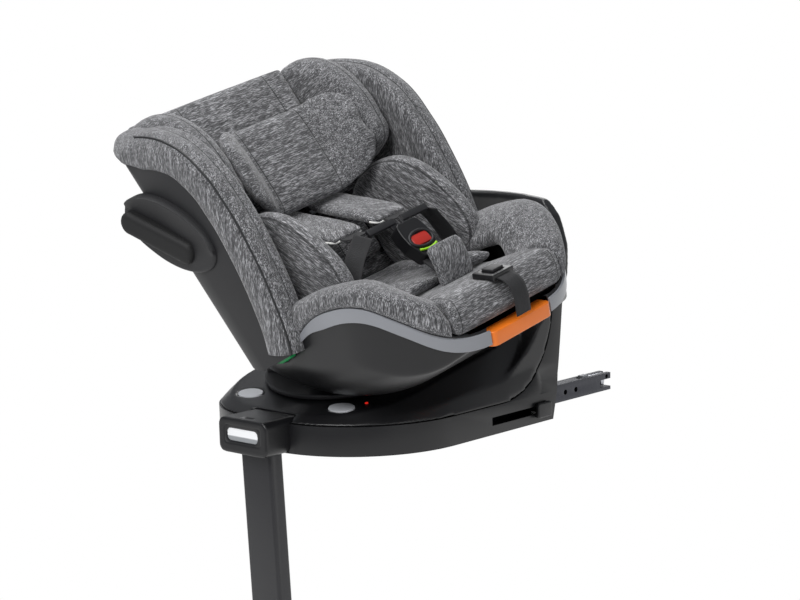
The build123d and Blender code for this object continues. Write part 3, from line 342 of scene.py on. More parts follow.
opal = add(tree, "ShaderNodeBsdfPrincipled", {"Roughness": 0.28, "IOR": 1.58},
           {"Base Color": painted_glow_and_shade.outputs["Result"], "Normal": bump.outputs[0]})
tree.links.new(opal.outputs[0], output.inputs[0])
stand_in("leg_window", "leg_light_panel", 1.0, material, "base", "light_plastic")


def select_some(piece, kind, chosen):
    """Selects a mesh's faces or edges for which chosen() holds and enters edit mode."""
    only(piece)
    bpy.ops.object.mode_set(mode="EDIT")
    bpy.ops.mesh.select_mode(type=kind)
    bpy.ops.mesh.select_all(action="DESELECT")
    bpy.ops.object.mode_set(mode="OBJECT")
    for element in piece.data.polygons if kind == "FACE" else piece.data.edges:
        element.select = chosen(element)
    bpy.ops.object.mode_set(mode="EDIT")


def runs_in_depth(edge):
    """Whether an edge of the bezel's block runs from its front to its back."""
    ends = [bezel.data.vertices[i].co for i in edge.vertices]
    return abs(ends[0].y - ends[1].y) > mm


# The bezel is a block without its front and back, its corners rounded and its wall thickened.
bpy.ops.object.select_all(action="DESELECT")
bpy.ops.mesh.primitive_cube_add(size=1)
bezel = bpy.context.object
bezel.name = "leg_panel_bezel"
bezel.data.transform(Matrix.Diagonal((61 * mm, 1.4 * mm, 18 * mm, 1)))
select_some(bezel, "FACE", lambda face: abs(face.normal.y) > 0.5)
bpy.ops.mesh.delete(type="ONLY_FACE")
bpy.ops.object.mode_set(mode="OBJECT")
select_some(bezel, "EDGE", runs_in_depth)
bpy.ops.mesh.bevel(offset=7 * mm, segments=8)
bpy.ops.mesh.select_mode(type="VERT")
bpy.ops.object.mode_set(mode="OBJECT")
apply_modifier(bezel, "SOLIDIFY", thickness=8 * mm, offset=1)
apply_modifier(bezel, "BEVEL", width=0.4 * mm, segments=2, limit_method="ANGLE")
bezel.data.transform(Matrix.Translation(panel_mid) @ Matrix.Rotation(-wedge, 4, "X")
                     @ Matrix.Translation((0, -1.5 * mm, 0)))
bpy.ops.object.shade_smooth_by_angle(angle=math.radians(40))
settle(bezel, black_pp, "base", "base_plastic")
stand_in("leg_outer_tube", "leg_upper_tube", 0.8, coated_steel, "leg_upper", "dark_steel")
stand_in("leg_collar", "leg_clamp_collar", 2.0, black_pp, "leg_upper", "base_plastic")
stand_in("leg_inner_tube", "leg_lower_tube", 0.6, coated_steel, "leg_lower", "dark_steel")
stand_in("leg_foot", "leg_rubber_foot", 3.0, black_rubber, "leg_lower", "rubber")
stand_in("leg_button", "leg_height_button", 1.0, grey_acetal, "leg_button", "light_plastic")
stand_in("base_pads", "underside_grip_pads", 0.4, black_rubber, "base", "rubber")

# ---------------------------------------------------------------------------
# Anchor arms: folded and punched steel, black chromated, with a sprung hook
# and release in each, and a moulded grip on each side of the base.
# ---------------------------------------------------------------------------
stand_in("isofix_arms", "anchor_arms_steel", 0.7, dark_steel, "anchor_arms", "dark_steel")
stand_in("isofix_knobs", "anchor_arm_grips", 2.5, black_pp, "anchor_arms", "base_plastic")
for word in ("left", "right"):
    stand_in("latch_hook_" + word, "anchor_hook_" + word, 0.5, bright_steel, "hook_" + word,
             "dark_steel")
    stand_in("latch_release_" + word, "anchor_release_" + word, 0.8, grey_acetal, "release_" + word,
             "light_plastic")

# ---------------------------------------------------------------------------
# Tub: charcoal matt polypropylene back shell with raised side pods, a black
# bowl, a silver-grey painted band round its rim and green belt guides.
# ---------------------------------------------------------------------------
silver_paint = moulded("silver_grey_painted_abs", "#85878c", 0.34, 0.1, 0.8, 0.3)
green_pp = moulded("green_polypropylene_satin", "#128a4a", 0.4)
orange_abs = moulded("orange_abs_gloss_moulded", "#e8761a", 0.3, 0.1)
stand_in("back_shell", "back_shell_moulding", 2.0, charcoal_pp, "tub", "charcoal_plastic")
settle(melted("pan_shell", "bowl_moulding", 3.2, 8), black_pp, "tub", "black_plastic", "pan_shell")
stand_in("trim_band", "silver_rim_band", 0.9, silver_paint, "tub", "silver_plastic")
stand_in("belt_guides", "vehicle_belt_guides", 1.5, green_pp, "tub", "green_plastic")
stand_in("recline_handle", "recline_pull_handle", 2.5, orange_abs, "recline_handle", "orange_plastic")
stand_in("headrest_frame", "headrest_plate", 1.2, black_nylon, "headrest", "black_plastic")
stand_in("headrest_lever", "headrest_pull_lever", 1.5, grey_acetal, "headrest_lever", "light_plastic")

# ---------------------------------------------------------------------------
# Side pods: a crash pad clipped to each side of the shell. Its upper face is
# scooped below a crisp ridge, and a plain darker block stands out of it.
# ---------------------------------------------------------------------------
SIDES = ((1, "left"), (-1, "right"))
deck_mm = deck / mm
pod_x, pod_z, pod_tilt = -105.0, 268.0, math.radians(22)
pod_long, pod_high, shell_half = 89.0, 46.0, 216.0


def on_pod(u, v, out, side):
    """A point u along the pod, v up across it and out from the shell's side, in metres."""
    x = pod_x + u * math.cos(pod_tilt) + v * math.sin(pod_tilt)
    z = pod_z - u * math.sin(pod_tilt) + v * math.cos(pod_tilt) + deck_mm
    return (x * mm, side * (shell_half + out) * mm, z * mm)


def ease(value, low, high):
    """Smooth step from 0 to 1 between two values."""
    t = min(1.0, max(0.0, (value - low) / (high - low)))
    return t * t * (3 - 2 * t)


def pod_height(u, v):
    """Height of the scooped face over the shell's side."""
    rim = pod_high * math.sqrt(max(0.0, 1 - (u / pod_long) ** 2))
    rise = min(1.0, max(0.0, (v - 4) / max(6.0, rim - 4)))
    return 5 + 9 * rise ** 1.6 * (0.55 + 0.45 * ease(-u, -80, 10)) + 4 * ease(-u, 20, 80)


def net(name, rings):
    """A closed skin over a row of rings of points."""
    rings = np.asarray(rings)
    count, around = rings.shape[:2]
    faces = [(i * around + j, i * around + (j + 1) % around, (i + 1) * around + (j + 1) % around,
              (i + 1) * around + j) for i in range(count - 1) for j in range(around)]
    faces += [tuple(range(around - 1, -1, -1)), tuple((count - 1) * around + j for j in range(around))]
    mesh = bpy.data.meshes.new(name)
    mesh.from_pydata(rings.reshape(-1, 3).tolist(), [], faces)
    piece = placed(name, mesh)
    edit_all(piece, bpy.ops.mesh.normals_make_consistent, inside=False)
    bpy.ops.object.shade_smooth()
    return piece


def ridged(piece):
    """Keeps a skin's sharp ridges while the rest of it is shaded smooth."""
    bpy.ops.object.shade_smooth_by_angle(angle=math.radians(50))
    return piece


block_black = moulded("black_thermoplastic_rubber_matt", "#131314", 0.66, 0.5, 1.0)
block_half, block_v = 17, -11           # the block's half width and its middle across the pod
turns = [2 * math.pi * i / 96 for i in range(96)]
for side, word in SIDES:
    rings = []
    for share in [0.02 + 0.98 * i / 36 for i in range(37)]:
        ring = []
        for t in turns:
            u, v = share * pod_long * math.cos(t), share * pod_high * math.sin(t)
            ring.append(on_pod(u, v, pod_height(u, v) * (1 - ease(share, 0.965, 1.0) * 0.35), side))
        rings.append(ring)
    for share, out in ((1.012, 2.0), (1.015, -4.0), (0.99, -12.0), (0.9, -15.0)):
        rings.append([on_pod(share * pod_long * math.cos(t), share * pod_high * math.sin(t), out, side)
                      for t in turns])
    settle(ridged(net("side_pod_scoop_" + word, rings)), charcoal_pp, "tub", "charcoal_plastic",
           *(["side_pods"] if side > 0 else []))
    rings = []
    for inset, drop in ((15, 0), (12, 0), (9, 0), (6.5, 0.3), (4.5, 1.0), (2.8, 2.2), (1.4, 3.8),
                        (0.4, 6.0), (0, 9.0), (0, 14.0), (0, 20.0)):
        ring = []
        for t in turns:
            middle, stretch = (40, 0.7) if math.cos(t) > 0 else (-67, 1)
            u = middle + (block_half - inset) * math.cos(t) * stretch
            v = block_v + (block_half - inset) * math.sin(t)
            ring.append(on_pod(u, v, 22.5 - 9 * ((u + 86) / 138) ** 2 - drop, side))
        rings.append(ring)
    settle(ridged(net("side_pod_block_" + word, rings)), block_black, "tub", "charcoal_plastic")

# ---------------------------------------------------------------------------
# Wing covers: melange polyester woven from dark, mid and pale grey yarn and
# laminated to foam. Each cover is pulled over the shell's edge as a roll, with
# a seam along the roll and a lining that runs down inside the wing.
# ---------------------------------------------------------------------------


def melange(name, dark, middle, pale):
    """Woven melange: pale and dark dashes of yarn about 10 mm long and 1.2 mm wide."""
    material, tree, output = start_material(name)
    grain = add(tree, "ShaderNodeAttribute", attribute_name="grain").outputs["Vector"]
    dash_net = add(tree, "ShaderNodeMapping", {"Scale": (1 / (10 * mm), 1 / (1.15 * mm), 1 / (1.15 * mm))},
                   {"Vector": grain})
    dashes = add(tree, "ShaderNodeTexNoise", {"Scale": 1.0, "Detail": 3.0, "Roughness": 0.65},
                 {"Vector": dash_net.outputs[0]})
    slub_net = add(tree, "ShaderNodeMapping", {"Scale": (1 / (45 * mm), 1 / (5 * mm), 1 / (5 * mm))},
                   {"Vector": grain})
    slubs = add(tree, "ShaderNodeTexNoise", {"Scale": 1.0, "Detail": 2.0}, {"Vector": slub_net.outputs[0]})
    yarn = add(tree, "ShaderNodeMath", {1: 0.78}, {0: dashes.outputs[0]}, operation="MULTIPLY")
    yarn = add(tree, "ShaderNodeMath", {1: 0.22}, {0: slubs.outputs[0], 2: yarn.outputs[0]},
               operation="MULTIPLY_ADD")
    ramp = add(tree, "ShaderNodeValToRGB", links={"Fac": yarn.outputs[0]})
    ramp.color_ramp.elements[0].position = 0.36
    ramp.color_ramp.elements[0].color = rgb(dark)
    ramp.color_ramp.elements[1].position = 0.66
    ramp.color_ramp.elements[1].color = rgb(pale)
    ramp.color_ramp.elements.new(0.5).color = rgb(middle)
    seams = add(tree, "ShaderNodeAttribute", attribute_name="seams").outputs["Vector"]
    parts = add(tree, "ShaderNodeSeparateXYZ", links={0: seams})
    joined = None
    for axis in range(3):
        near = add(tree, "ShaderNodeMath", links={0: parts.outputs[axis]}, operation="ABSOLUTE")
        line = add(tree, "ShaderNodeMapRange",
                   {"From Min": 0.5 * mm, "From Max": 1.6 * mm, "To Min": 1.0, "To Max": 0.0},
                   {"Value": near.outputs[0]}, interpolation_type="SMOOTHSTEP")
        if joined:
            line = add(tree, "ShaderNodeMath", {}, {0: joined.outputs[0], 1: line.outputs[0]},
                       operation="MAXIMUM")
        joined = line
    shade = add(tree, "ShaderNodeMath", {1: 0.75}, {0: joined.outputs[0]}, operation="MULTIPLY")
    colour = add(tree, "ShaderNodeMix", {"B": rgb("#1d1d1f")},
                 {"Factor": shade.outputs[0], "A": ramp.outputs["Color"]}, data_type="RGBA")
    weave = add(tree, "ShaderNodeBump", {"Strength": 0.55, "Distance": 0.0006},
                {"Height": dashes.outputs[0]})
    groove = add(tree, "ShaderNodeBump", {"Strength": 0.8, "Distance": 0.002},
                 {"Height": joined.outputs[0], "Normal": weave.outputs[0]}, invert=True)
    shader = add(tree, "ShaderNodeBsdfPrincipled",
                 {"Roughness": 0.9, "Sheen Weight": 0.25, "Sheen Roughness": 0.5},
                 {"Base Color": colour.outputs["Result"], "Normal": groove.outputs[0]})
    tree.links.new(shader.outputs[0], output.inputs[0])
    return material


grey_cloth = melange("grey_melange_polyester_woven", "#262628", "#525254", "#b6b6b9")
lean = math.radians(32)                 # the back's lean from upright
back_x, back_z = -40, 66                # the foot of the back's rear face


def leaning(n, w, y):
    """Points n in front of the back's rear face, w up along it and y to the seat's left, in metres."""
    n, w, y = np.broadcast_arrays(np.asarray(n, float), w, y)
    x = back_x + n * math.cos(lean) - w * math.sin(lean)
    z = back_z + n * math.sin(lean) + w * math.cos(lean) + deck_mm
    return np.stack([x, y, z], -1) * mm


def upright(x, y, z):
    """Points measured from the turning axis and the deck in millimetres, in metres."""
    x, y, z = np.broadcast_arrays(np.asarray(x, float), y, z)
    return np.stack([x, y, z + deck_mm], -1) * mm


def measured(points):
    """n, w and y of points in metres, as leaning() takes them."""
    x, y, z = (np.asarray(points) / mm).T
    x, z = x - back_x, z - deck_mm - back_z
    return (x * math.cos(lean) + z * math.sin(lean), -x * math.sin(lean) + z * math.cos(lean), y)


def unit(vectors):
    """Rows of a table made one long."""
    return vectors / np.linalg.norm(vectors, axis=1)[:, None]


def smooth_line(points, count):
    """Evenly spaced points on a smooth curve through the given ones."""
    points = np.asarray(points, float)
    ends = np.vstack([2 * points[0] - points[1], points, 2 * points[-1] - points[-2]])
    dense = []
    for i in range(1, len(ends) - 2):
        p0, p1, p2, p3 = ends[i - 1:i + 3]
        for t in np.linspace(0, 1, 24, endpoint=False):
            dense.append(0.5 * (2 * p1 + (p2 - p0) * t + (2 * p0 - 5 * p1 + 4 * p2 - p3) * t ** 2
                                + (3 * p1 - p0 - 3 * p2 + p3) * t ** 3))
    dense = np.array(dense + [points[-1]])
    run = np.concatenate([[0], np.cumsum(np.linalg.norm(np.diff(dense, axis=0), axis=1))])
    even = np.linspace(0, run[-1], count)
    return np.stack([np.interp(even, run, dense[:, k]) for k in range(dense.shape[1])], -1), even


def points_of(piece):
    """A mesh's points as an array."""
    flat = np.empty(len(piece.data.vertices) * 3)
    piece.data.vertices.foreach_get("co", flat)
    return flat.reshape(-1, 3)


def put_points(piece, points):
    """Moves a mesh's points."""
    piece.data.vertices.foreach_set("co", np.asarray(points, float).ravel())
    piece.data.update()


def mark(piece, name, values):
    """Stores one vector at each point of a mesh."""
    attribute = piece.data.attributes.get(name) or piece.data.attributes.new(name, "FLOAT_VECTOR", "POINT")
    attribute.data.foreach_set("vector", np.asarray(values, float).ravel())


def weave_along(piece, along, seams=()):
    """Lays the yarn along one direction and stores each point's distance from up to three seams."""
    points = points_of(piece)
    along = np.asarray(along, float) / np.linalg.norm(along)
    other = np.cross(along, (0, 1, 0) if abs(along[1]) < 0.8 else (1, 0, 0))
    other /= np.linalg.norm(other)
    third = np.cross(along, other)
    mark(piece, "grain", np.stack([points @ along, points @ other, points @ third], -1))
    far = np.ones(len(points))
    mark(piece, "seams", np.stack([np.asarray(s) * mm for s in seams] + [far] * (3 - len(seams)), -1))


EDGE = [(131, -35), (147, -3), (158, 30), (167, 62), (174, 96), (179, 130), (182, 160), (182, 190),
        (181, 215), (176, 240), (168, 262), (157, 283), (142, 302), (124, 318), (104, 332), (83, 344),
        (58, 356), (30, 365), (4, 369)]
ROLL = [(46, 213), (44, 218), (36, 220), (24, 221.5), (11, 220), (1, 215), (-4, 208), (-5.5, 200),
        (-5, 194), (-2.5, 190.5), (-5, 187), (-5, 181), (-1, 175), (7, 172), (20, 171.5), (38, 174),
        (60, 178), (84, 182), (84, 190), (50, 196), (24, 200), (12, 206), (24, 211)]
edge_line, _ = smooth_line(EDGE, 90)
heading = unit(np.gradient(edge_line, axis=0))
inward = np.stack([-heading[:, 1], heading[:, 0]], -1)
roll_line, roll_run = smooth_line(ROLL, 64)
shell_corner = 70.0                     # radius of the shell's rounded rear corners


def round_shell(n, w, off):
    """Where a point off the shell's side comes when it is laid round the rear corner, as (n, y) in mm."""
    n = np.maximum(n, 1)
    turn = np.clip((shell_corner - n) / shell_corner, 0, 0.97)
    short = np.clip(shell_corner - n, 0, shell_corner - 3)
    less = np.maximum(shell_corner - np.sqrt(shell_corner ** 2 - short ** 2),
                      np.interp(w, [240, 300, 345, 366], [0, 4, 14, 26]))
    return n - off * turn, shell_half - less + off * np.sqrt(1 - turn ** 2)


rings = []
for (n, w), (in_n, in_w) in zip(edge_line, inward):
    lip = np.where(roll_line[:, 1] > 192, np.interp(n, [10, 90], [0.62, 1.0]), 1.0)
    deep = np.where(roll_line[:, 0] > 0, roll_line[:, 0] * lip, roll_line[:, 0])
    ring_w = w + in_w * deep
    ring_n, ring_y = round_shell(n + in_n * deep, ring_w, roll_line[:, 1] - shell_half)
    rings.append(leaning(ring_n, ring_w, ring_y))
groove = np.hypot(*(roll_line - (-2.5, 190.5)).T)        # the roll's seam lies in its groove
seam_at = roll_run[np.argmin(groove)]
seam = np.tile(roll_run - seam_at, len(rings)) * mm
for side, word in SIDES:
    cover = net("wing_cover_" + word, np.array(rings) * (1, side, 1))
    weave_along(cover, (0.12, 0, 0.99))
    mark(cover, "seams", np.stack([seam, np.ones_like(seam), np.ones_like(seam)], -1))
    settle(cover, grey_cloth, "tub", "grey_fabric")

TOP_ROLL = [(-2, 338), (-4, 352), (-3.5, 364), (1, 371.5), (9, 374), (22, 373), (33, 369), (38, 361),
            (34, 353), (24, 348), (14, 342), (6, 337)]
roll_line, _ = smooth_line(TOP_ROLL + [TOP_ROLL[0]], 41)
roll_line = roll_line[:-1]
corner_y = shell_half - shell_corner    # where the shell's rear corners start
rings = []
for y in np.linspace(-166, 166, 41):
    forward = shell_corner - math.sqrt(shell_corner ** 2 - max(0, abs(y) - corner_y) ** 2)
    narrow = np.interp(abs(y), [125, 146], [0.26, 1.0])      # leaves the headrest's plate room to rise
    rings.append(leaning((roll_line[:, 0] + 4) * narrow - 4 + forward, roll_line[:, 1], y))
cover = net("top_edge_cover", rings)
weave_along(cover, (0.12, 0, 0.99))
settle(cover, grey_cloth, "tub", "grey_fabric")

# ---------------------------------------------------------------------------
# Wing linings, side supports and the headrest's wings: foam slabs in sewn
# covers. Two shaped faces are joined by a gusset, so a seam follows each edge.
# ---------------------------------------------------------------------------
side_on = Matrix(((math.cos(lean), -math.sin(lean), 0, 0), (0, 0, -1, 0),
                  (math.sin(lean), math.cos(lean), 0, 0), (0, 0, 0, 1)))


def slab(name, points, low, high, edge, start=(back_x, back_z), frame_of=side_on):
    """A slab with a smooth outline and rounded rims between two distances across the seat, in mm."""
    curve = bpy.data.curves.new(name, "CURVE")
    curve.dimensions = "2D"
    curve.fill_mode = "BOTH"
    line = curve.splines.new("BEZIER")
    line.bezier_points.add(len(points) - 1)
    for point, (u, v) in zip(line.bezier_points, points):
        point.co = (u * mm, v * mm, 0)
        point.handle_left_type = point.handle_right_type = "AUTO"
    line.use_cyclic_u = True
    curve.resolution_u = 8
    curve.extrude = (high - low) / 2 * mm - edge * mm
    curve.bevel_depth = edge * mm
    curve.bevel_resolution = 4
    curve.offset = -edge * mm
    shape = placed(name, curve)
    place = frame_of.copy()
    place.translation = (start[0] * mm, (low + high) / 2 * mm, (start[1] + deck_mm) * mm)
    shape.matrix_world = place
    only(shape)
    bpy.ops.object.convert(target="MESH")
    bpy.ops.object.transform_apply(location=True, rotation=True, scale=True)
    return bpy.context.object


def fine_net(piece, voxel):
    """Rebuilds a closed shape as an even net of squares."""
    apply_modifier(piece, "REMESH", mode="VOXEL", voxel_size=voxel * mm)
    bpy.ops.object.shade_smooth()


def off_seam(piece, place):
    """Each point's distance in mm from a seam that lies at one distance from the seat's middle plane."""
    return np.abs(points_of(piece)[:, 1]) / mm - place


def near_seams(piece, seams, reach=2.5):
    """Where a pad's points lie close to one of its seams."""
    near = np.zeros(len(piece.data.vertices), bool)
    for place in seams:
        near |= np.abs(off_seam(piece, place)) < reach
    return near


def plump(piece, held, cap):
    """Swells a cover with air pressure while its seams are held, and limits how far a point moves."""
    before = points_of(piece)
    group = piece.vertex_groups.new(name="held")
    group.add([int(i) for i in np.nonzero(held)[0]], 1.0, "REPLACE")
    only(piece)
    cloth = piece.modifiers.new("fill", "CLOTH")
    cloth.settings.use_pressure = True
    cloth.settings.uniform_pressure_force = 4.0
    cloth.settings.effector_weights.gravity = 0
    cloth.settings.vertex_group_mass = "held"
    for step in range(1, 21):
        bpy.context.scene.frame_set(step)
    bpy.ops.object.modifier_apply(modifier=cloth.name)
    bpy.context.scene.frame_set(1)
    moved = points_of(piece) - before
    length = np.linalg.norm(moved, axis=1)[:, None]
    put_points(piece, before + moved * np.minimum(1, cap * mm / np.maximum(length, 1e-9)))
    piece.vertex_groups.clear()


def finish_pad(piece, along, seams, body, nodes):
    apply_modifier(piece, "SMOOTH", factor=0.5, iterations=2)
    apply_modifier(piece, "SUBSURF", levels=1, render_levels=1)
    bpy.ops.object.shade_smooth()
    weave_along(piece, along, [off_seam(piece, place) for place in seams])
    settle(piece, grey_cloth, body, "grey_fabric", *nodes)


def mirrored(piece, name):
    """A copy on the seat's other side."""
    other = placed(name, piece.data.copy())
    other.data.transform(Matrix.Diagonal((1, -1, 1, 1)))
    other.data.flip_normals()
    return other


along_n = (math.cos(lean), 0, math.sin(lean))
LINING = [(12, -8), (60, -20), (120, -20), (136, 10), (150, 50), (160, 95), (168, 150), (168, 205),
          (158, 250), (138, 288), (108, 318), (66, 342), (14, 354), (9, 330), (9, 250), (9, 170),
          (9, 90), (9, 20)]
SUPPORT = [(36, 30), (60, 12), (110, -4), (150, -16), (196, -24), (217, -4), (222, 32), (214, 66),
           (201, 99), (184, 127), (162, 148), (130, 163), (95, 168), (60, 163), (36, 148), (33, 118),
           (33, 62)]
HEAD_WING = [(33, 181), (70, 178), (116, 181), (143, 193), (151, 225), (150, 272), (138, 309),
             (112, 344), (80, 365), (50, 373), (33, 372), (30, 345), (30, 300), (30, 250), (30, 205)]
for name, outline, low, high, edge, voxel, along, seams, body, node, cap, fill in (
        ("wing_lining", LINING, 184, 210, 8, 6, along_n, [], "tub", "wing_pad", 3, 0.4),
        ("side_support", SUPPORT, 119, 149.5, 12, 5, (0.88, 0, -0.47), [122.5, 146], "tub", "", 5, 0.7),
        ("headrest_wing_pad", HEAD_WING, 131, 173, 17, 5, along_n, [152], "headrest", "headrest_wing",
         5, 0.7)):
    pad = slab(name + "_left", outline, low, high, edge)
    fine_net(pad, voxel)
    if name == "wing_lining":
        n, w, y = measured(points_of(pad))
        n, y = round_shell(n, w, y - shell_half - np.interp(n, [20, 70], [3, 0]))
        put_points(pad, leaning(n, w, y))
    plump(pad, near_seams(pad, seams), cap)
    for piece, word in ((pad, "left"), (mirrored(pad, name + "_right"), "right")):
        finish_pad(piece, along, seams, body, [node + "_" + word] if node else [])

# ---------------------------------------------------------------------------
# Headrest middle, newborn pillow, insert and back pads: foam or fibre in the
# same cloth. Each starts as a block mapped on its lying surface, thick in its
# middle and thin at its rim, and swells between its sewn lines.
# ---------------------------------------------------------------------------


def block_pad(name, cuts, form, voxel=5):
    """A finely divided block whose points, from -1 to 1, are laid out by form(a, b, c) in metres."""
    bpy.ops.object.select_all(action="DESELECT")
    bpy.ops.mesh.primitive_cube_add(size=2)
    piece = bpy.context.object
    piece.name = name
    edit_all(piece, bpy.ops.mesh.subdivide, number_cuts=cuts)
    put_points(piece, form(*points_of(piece).T))
    fine_net(piece, voxel)
    return piece


def dome(a, b, rim):
    """Share of a pad's thickness over its face: full in the middle, rim at its edges."""
    return rim + (1 - rim) * np.sqrt(np.clip((1 - np.abs(a) ** 4) * (1 - np.abs(b) ** 4), 0, 1))


def leaning_block(n, thick, rim, w, high, half):
    """A domed block in front of the back: its depth and place up it, and half its size each way."""
    return lambda a, b, c: leaning(n + thick * c * dome(a, b, rim), w + high * b, half * a)


pad = block_pad("headrest_middle_pad", 24, leaning_block(43, 14, 0.55, 277, 97, 131))
plump(pad, near_seams(pad, [88]), 5)
finish_pad(pad, (0, 1, 0), [88], "headrest", ["headrest_pad"])


pillow_half, panel_half = 152, 60       # half the pillow's length and half its middle panel's


def pillow_form(a, b, c):
    """Middle panel flat across the headrest, its two side panels swung forward."""
    s = pillow_half * a
    out = np.clip(np.abs(s) - panel_half, 0, None)
    swing = math.radians(39) * np.clip(out / 34, 0, 1)
    y = np.sign(s) * (np.minimum(np.abs(s), panel_half) + out * np.cos(swing))
    n = 89 + out * np.sin(swing) + 4 * (1 - (s / pillow_half) ** 2)
    round_end = np.sqrt(np.clip(1 - (out / 96) ** 3.4, 0, 1))
    w = 223 + 4 * out / 90 + 71 * (0.14 + 0.86 * round_end) * b
    return leaning(n + 14 * c * dome(a, b, 0.35), w, y)


pad = block_pad("newborn_pillow", 28, pillow_form)
plump(pad, near_seams(pad, [panel_half + 1], 3), 7)
finish_pad(pad, (0, 1, 0), [panel_half + 1], "headrest", ["head_pillow"])

pad = block_pad("insert_back_pad", 20, leaning_block(41, 9, 0.6, 101, 46, 116))
plump(pad, near_seams(pad, [38]), 4)
finish_pad(pad, (0, 1, 0), [38], "tub", [])


def insert_seat_form(a, b, c):
    """Seat part of the insert, with a lobe on each side of the crotch strap."""
    x = 112 + 92 * b - 16 * (1 - np.abs(a)) * (b > 0) * b
    under = np.interp(x, [-12, 60, 130, 200], [113, 115, 125, 141])
    lobe = 11 + 4.5 * np.exp(-((np.abs(a) - 0.62) / 0.3) ** 2) * np.clip(b, 0, 1)
    return upright(x, 92 * a, under + lobe * (1 + c * dome(a, b, 0.4)))


pad = block_pad("insert_seat_pad", 20, insert_seat_form)
plump(pad, near_seams(pad, [36]), 4)
finish_pad(pad, (0, 1, 0), [36], "tub", ["body_insert"])

pad = block_pad("lower_back_pad", 20, leaning_block(17, 10, 0.7, 91, 58, 164), 6)
finish_pad(pad, (0, 1, 0), [], "tub", [])


def back_lining_form(a, b, c):
    """A thin lining that follows the shell's back and its rounded corners."""
    y, radius = 190 * a, 66
    bend = radius - np.sqrt(radius ** 2 - np.maximum(0, np.abs(y) - 148) ** 2)
    return leaning(8.4 + bend + 2.8 * c, 262 + 98 * b, y)


pad = block_pad("upper_back_lining", 16, back_lining_form, 3.4)
finish_pad(pad, (0, 1, 0), [], "tub", ["back_cushion"])

# ---------------------------------------------------------------------------
# Seat cushion and thigh bolsters: moulded foam in tight covers. The bolsters
# run over the bowl's rim in an arch on each side and meet the cushion's front.
# ---------------------------------------------------------------------------
flat_on = Matrix(((1, 0, 0, 0), (0, 0, -1, 0), (0, 1, 0, 0), (0, 0, 0, 1)))
CUSHION = [(-8, 108), (-6, 90), (40, 93), (110, 102), (180, 111), (250, 116), (292, 113), (311, 111),
           (319, 128), (315, 146), (304, 157), (285, 161), (255, 157), (200, 141), (130, 125),
           (60, 115), (20, 112)]
cushion_half = 117
pad = slab("seat_cushion_cover", CUSHION, -cushion_half, cushion_half, 10, (0, 0), flat_on)
fine_net(pad, 6)

# The front bulges in its middle, and is drawn in so that it clears the base as the seat turns.
points = points_of(pad)
x, y, z = points.T / mm
bulge = np.clip((x - 250) / 60, 0, 1) * (1 - (y / cushion_half) ** 2) * 4
points[:, 0] = (x + bulge - 0.45 * np.maximum(0, x + bulge - 292)) * mm
put_points(pad, points)
plump(pad, (z - deck_mm < 116) & (x < 290), 4)

# The adjuster is sewn into the cover, which sinks under it and rises again beside it.
points = points_of(pad)
adjuster_low, adjuster_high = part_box("adjuster_housing")
adjuster_mid = (adjuster_low + adjuster_high) / 2
aside = np.maximum(np.abs(points[:, 0] - adjuster_mid.x) - (adjuster_high.x - adjuster_low.x) / 2,
                   np.abs(points[:, 1]) - adjuster_high.y)
rest = adjuster_low.z + 1 * mm + 0.35 * np.maximum(0, aside)
on_top = points[:, 2] > deck + 130 * mm
points[:, 2] = np.where(on_top, np.minimum(points[:, 2], rest), points[:, 2])
put_points(pad, points)
finish_pad(pad, (0, 1, 0), [104], "tub", ["seat_cushion"])

# The bolster's foot follows the band round the rim; its ridge is one arch.
RIM = [(46, 104, 112), (54, 112, 140), (73, 112, 162), (92, 131, 174), (114, 149, 184), (136, 161, 192),
       (159, 169, 198), (178, 174, 202), (196, 176, 204), (214, 175, 203), (230, 169, 200),
       (247, 159, 194), (266, 145, 184), (278, 134, 176), (290, 124, 168), (300, 116, 160)]
rim_x = [p[0] for p in RIM]
corner, half, front = 140, 195, 315     # the rim's front corners, half width and front end
bolster_deep = 74
straight = np.linspace(rim_x[0], front - corner, 26)
arc = np.radians(np.linspace(0, 62, 34))[1:]
plan = [(x, half, 0.0) for x in straight]
plan += [(front - corner + corner * math.sin(t), half - corner + corner * math.cos(t), t) for t in arc]
rings = []
for i, (x, y, t) in enumerate(plan):
    foot, ridge = np.interp(x, rim_x, [p[1] for p in RIM]), np.interp(x, rim_x, [p[2] for p in RIM])
    end = min(1.0, 0.25 + i / 6, 0.3 + (len(plan) - 1 - i) / 4)
    rise = (ridge - foot) * (0.35 + 0.65 * end)
    deep = bolster_deep * (0.6 + 0.4 * end)
    section = [(2, foot - 1), (-4.5, foot + 0.1 * rise), (-6.5, foot + 0.4 * rise),
               (-4, foot + 0.74 * rise), (3, foot + 0.94 * rise), (12, foot + rise),
               (25, foot + 0.985 * rise), (42, foot + 0.86 * rise), (56, foot + 0.6 * rise),
               (66, foot + 0.25 * rise), (deep, foot - 6), (deep - 6, foot - 22), (40, foot - 20),
               (12, foot - 10)]
    ring, _ = smooth_line(section + [section[0]], 41)
    ring = ring[:-1]
    inset = ring[:, 0] * min(1, deep / bolster_deep)
    rings.append(upright(x - inset * math.sin(t), y - inset * math.cos(t), ring[:, 1]))
for side, word in SIDES:
    pad = net("thigh_bolster_" + word, np.array(rings) * (1, side, 1))
    weave_along(pad, (0.1, 0.15, 1))
    settle(pad, grey_cloth, "tub", "grey_fabric", "bolster_" + word)

# ---------------------------------------------------------------------------
# Harness: flat straps of woven polyester webbing, 38 mm wide, with a narrower
# tail that pulls them tight. Soft pads in the seat's cloth lie on them, and the
# shoulder pads have white piping sewn round their lower ends.
# ---------------------------------------------------------------------------


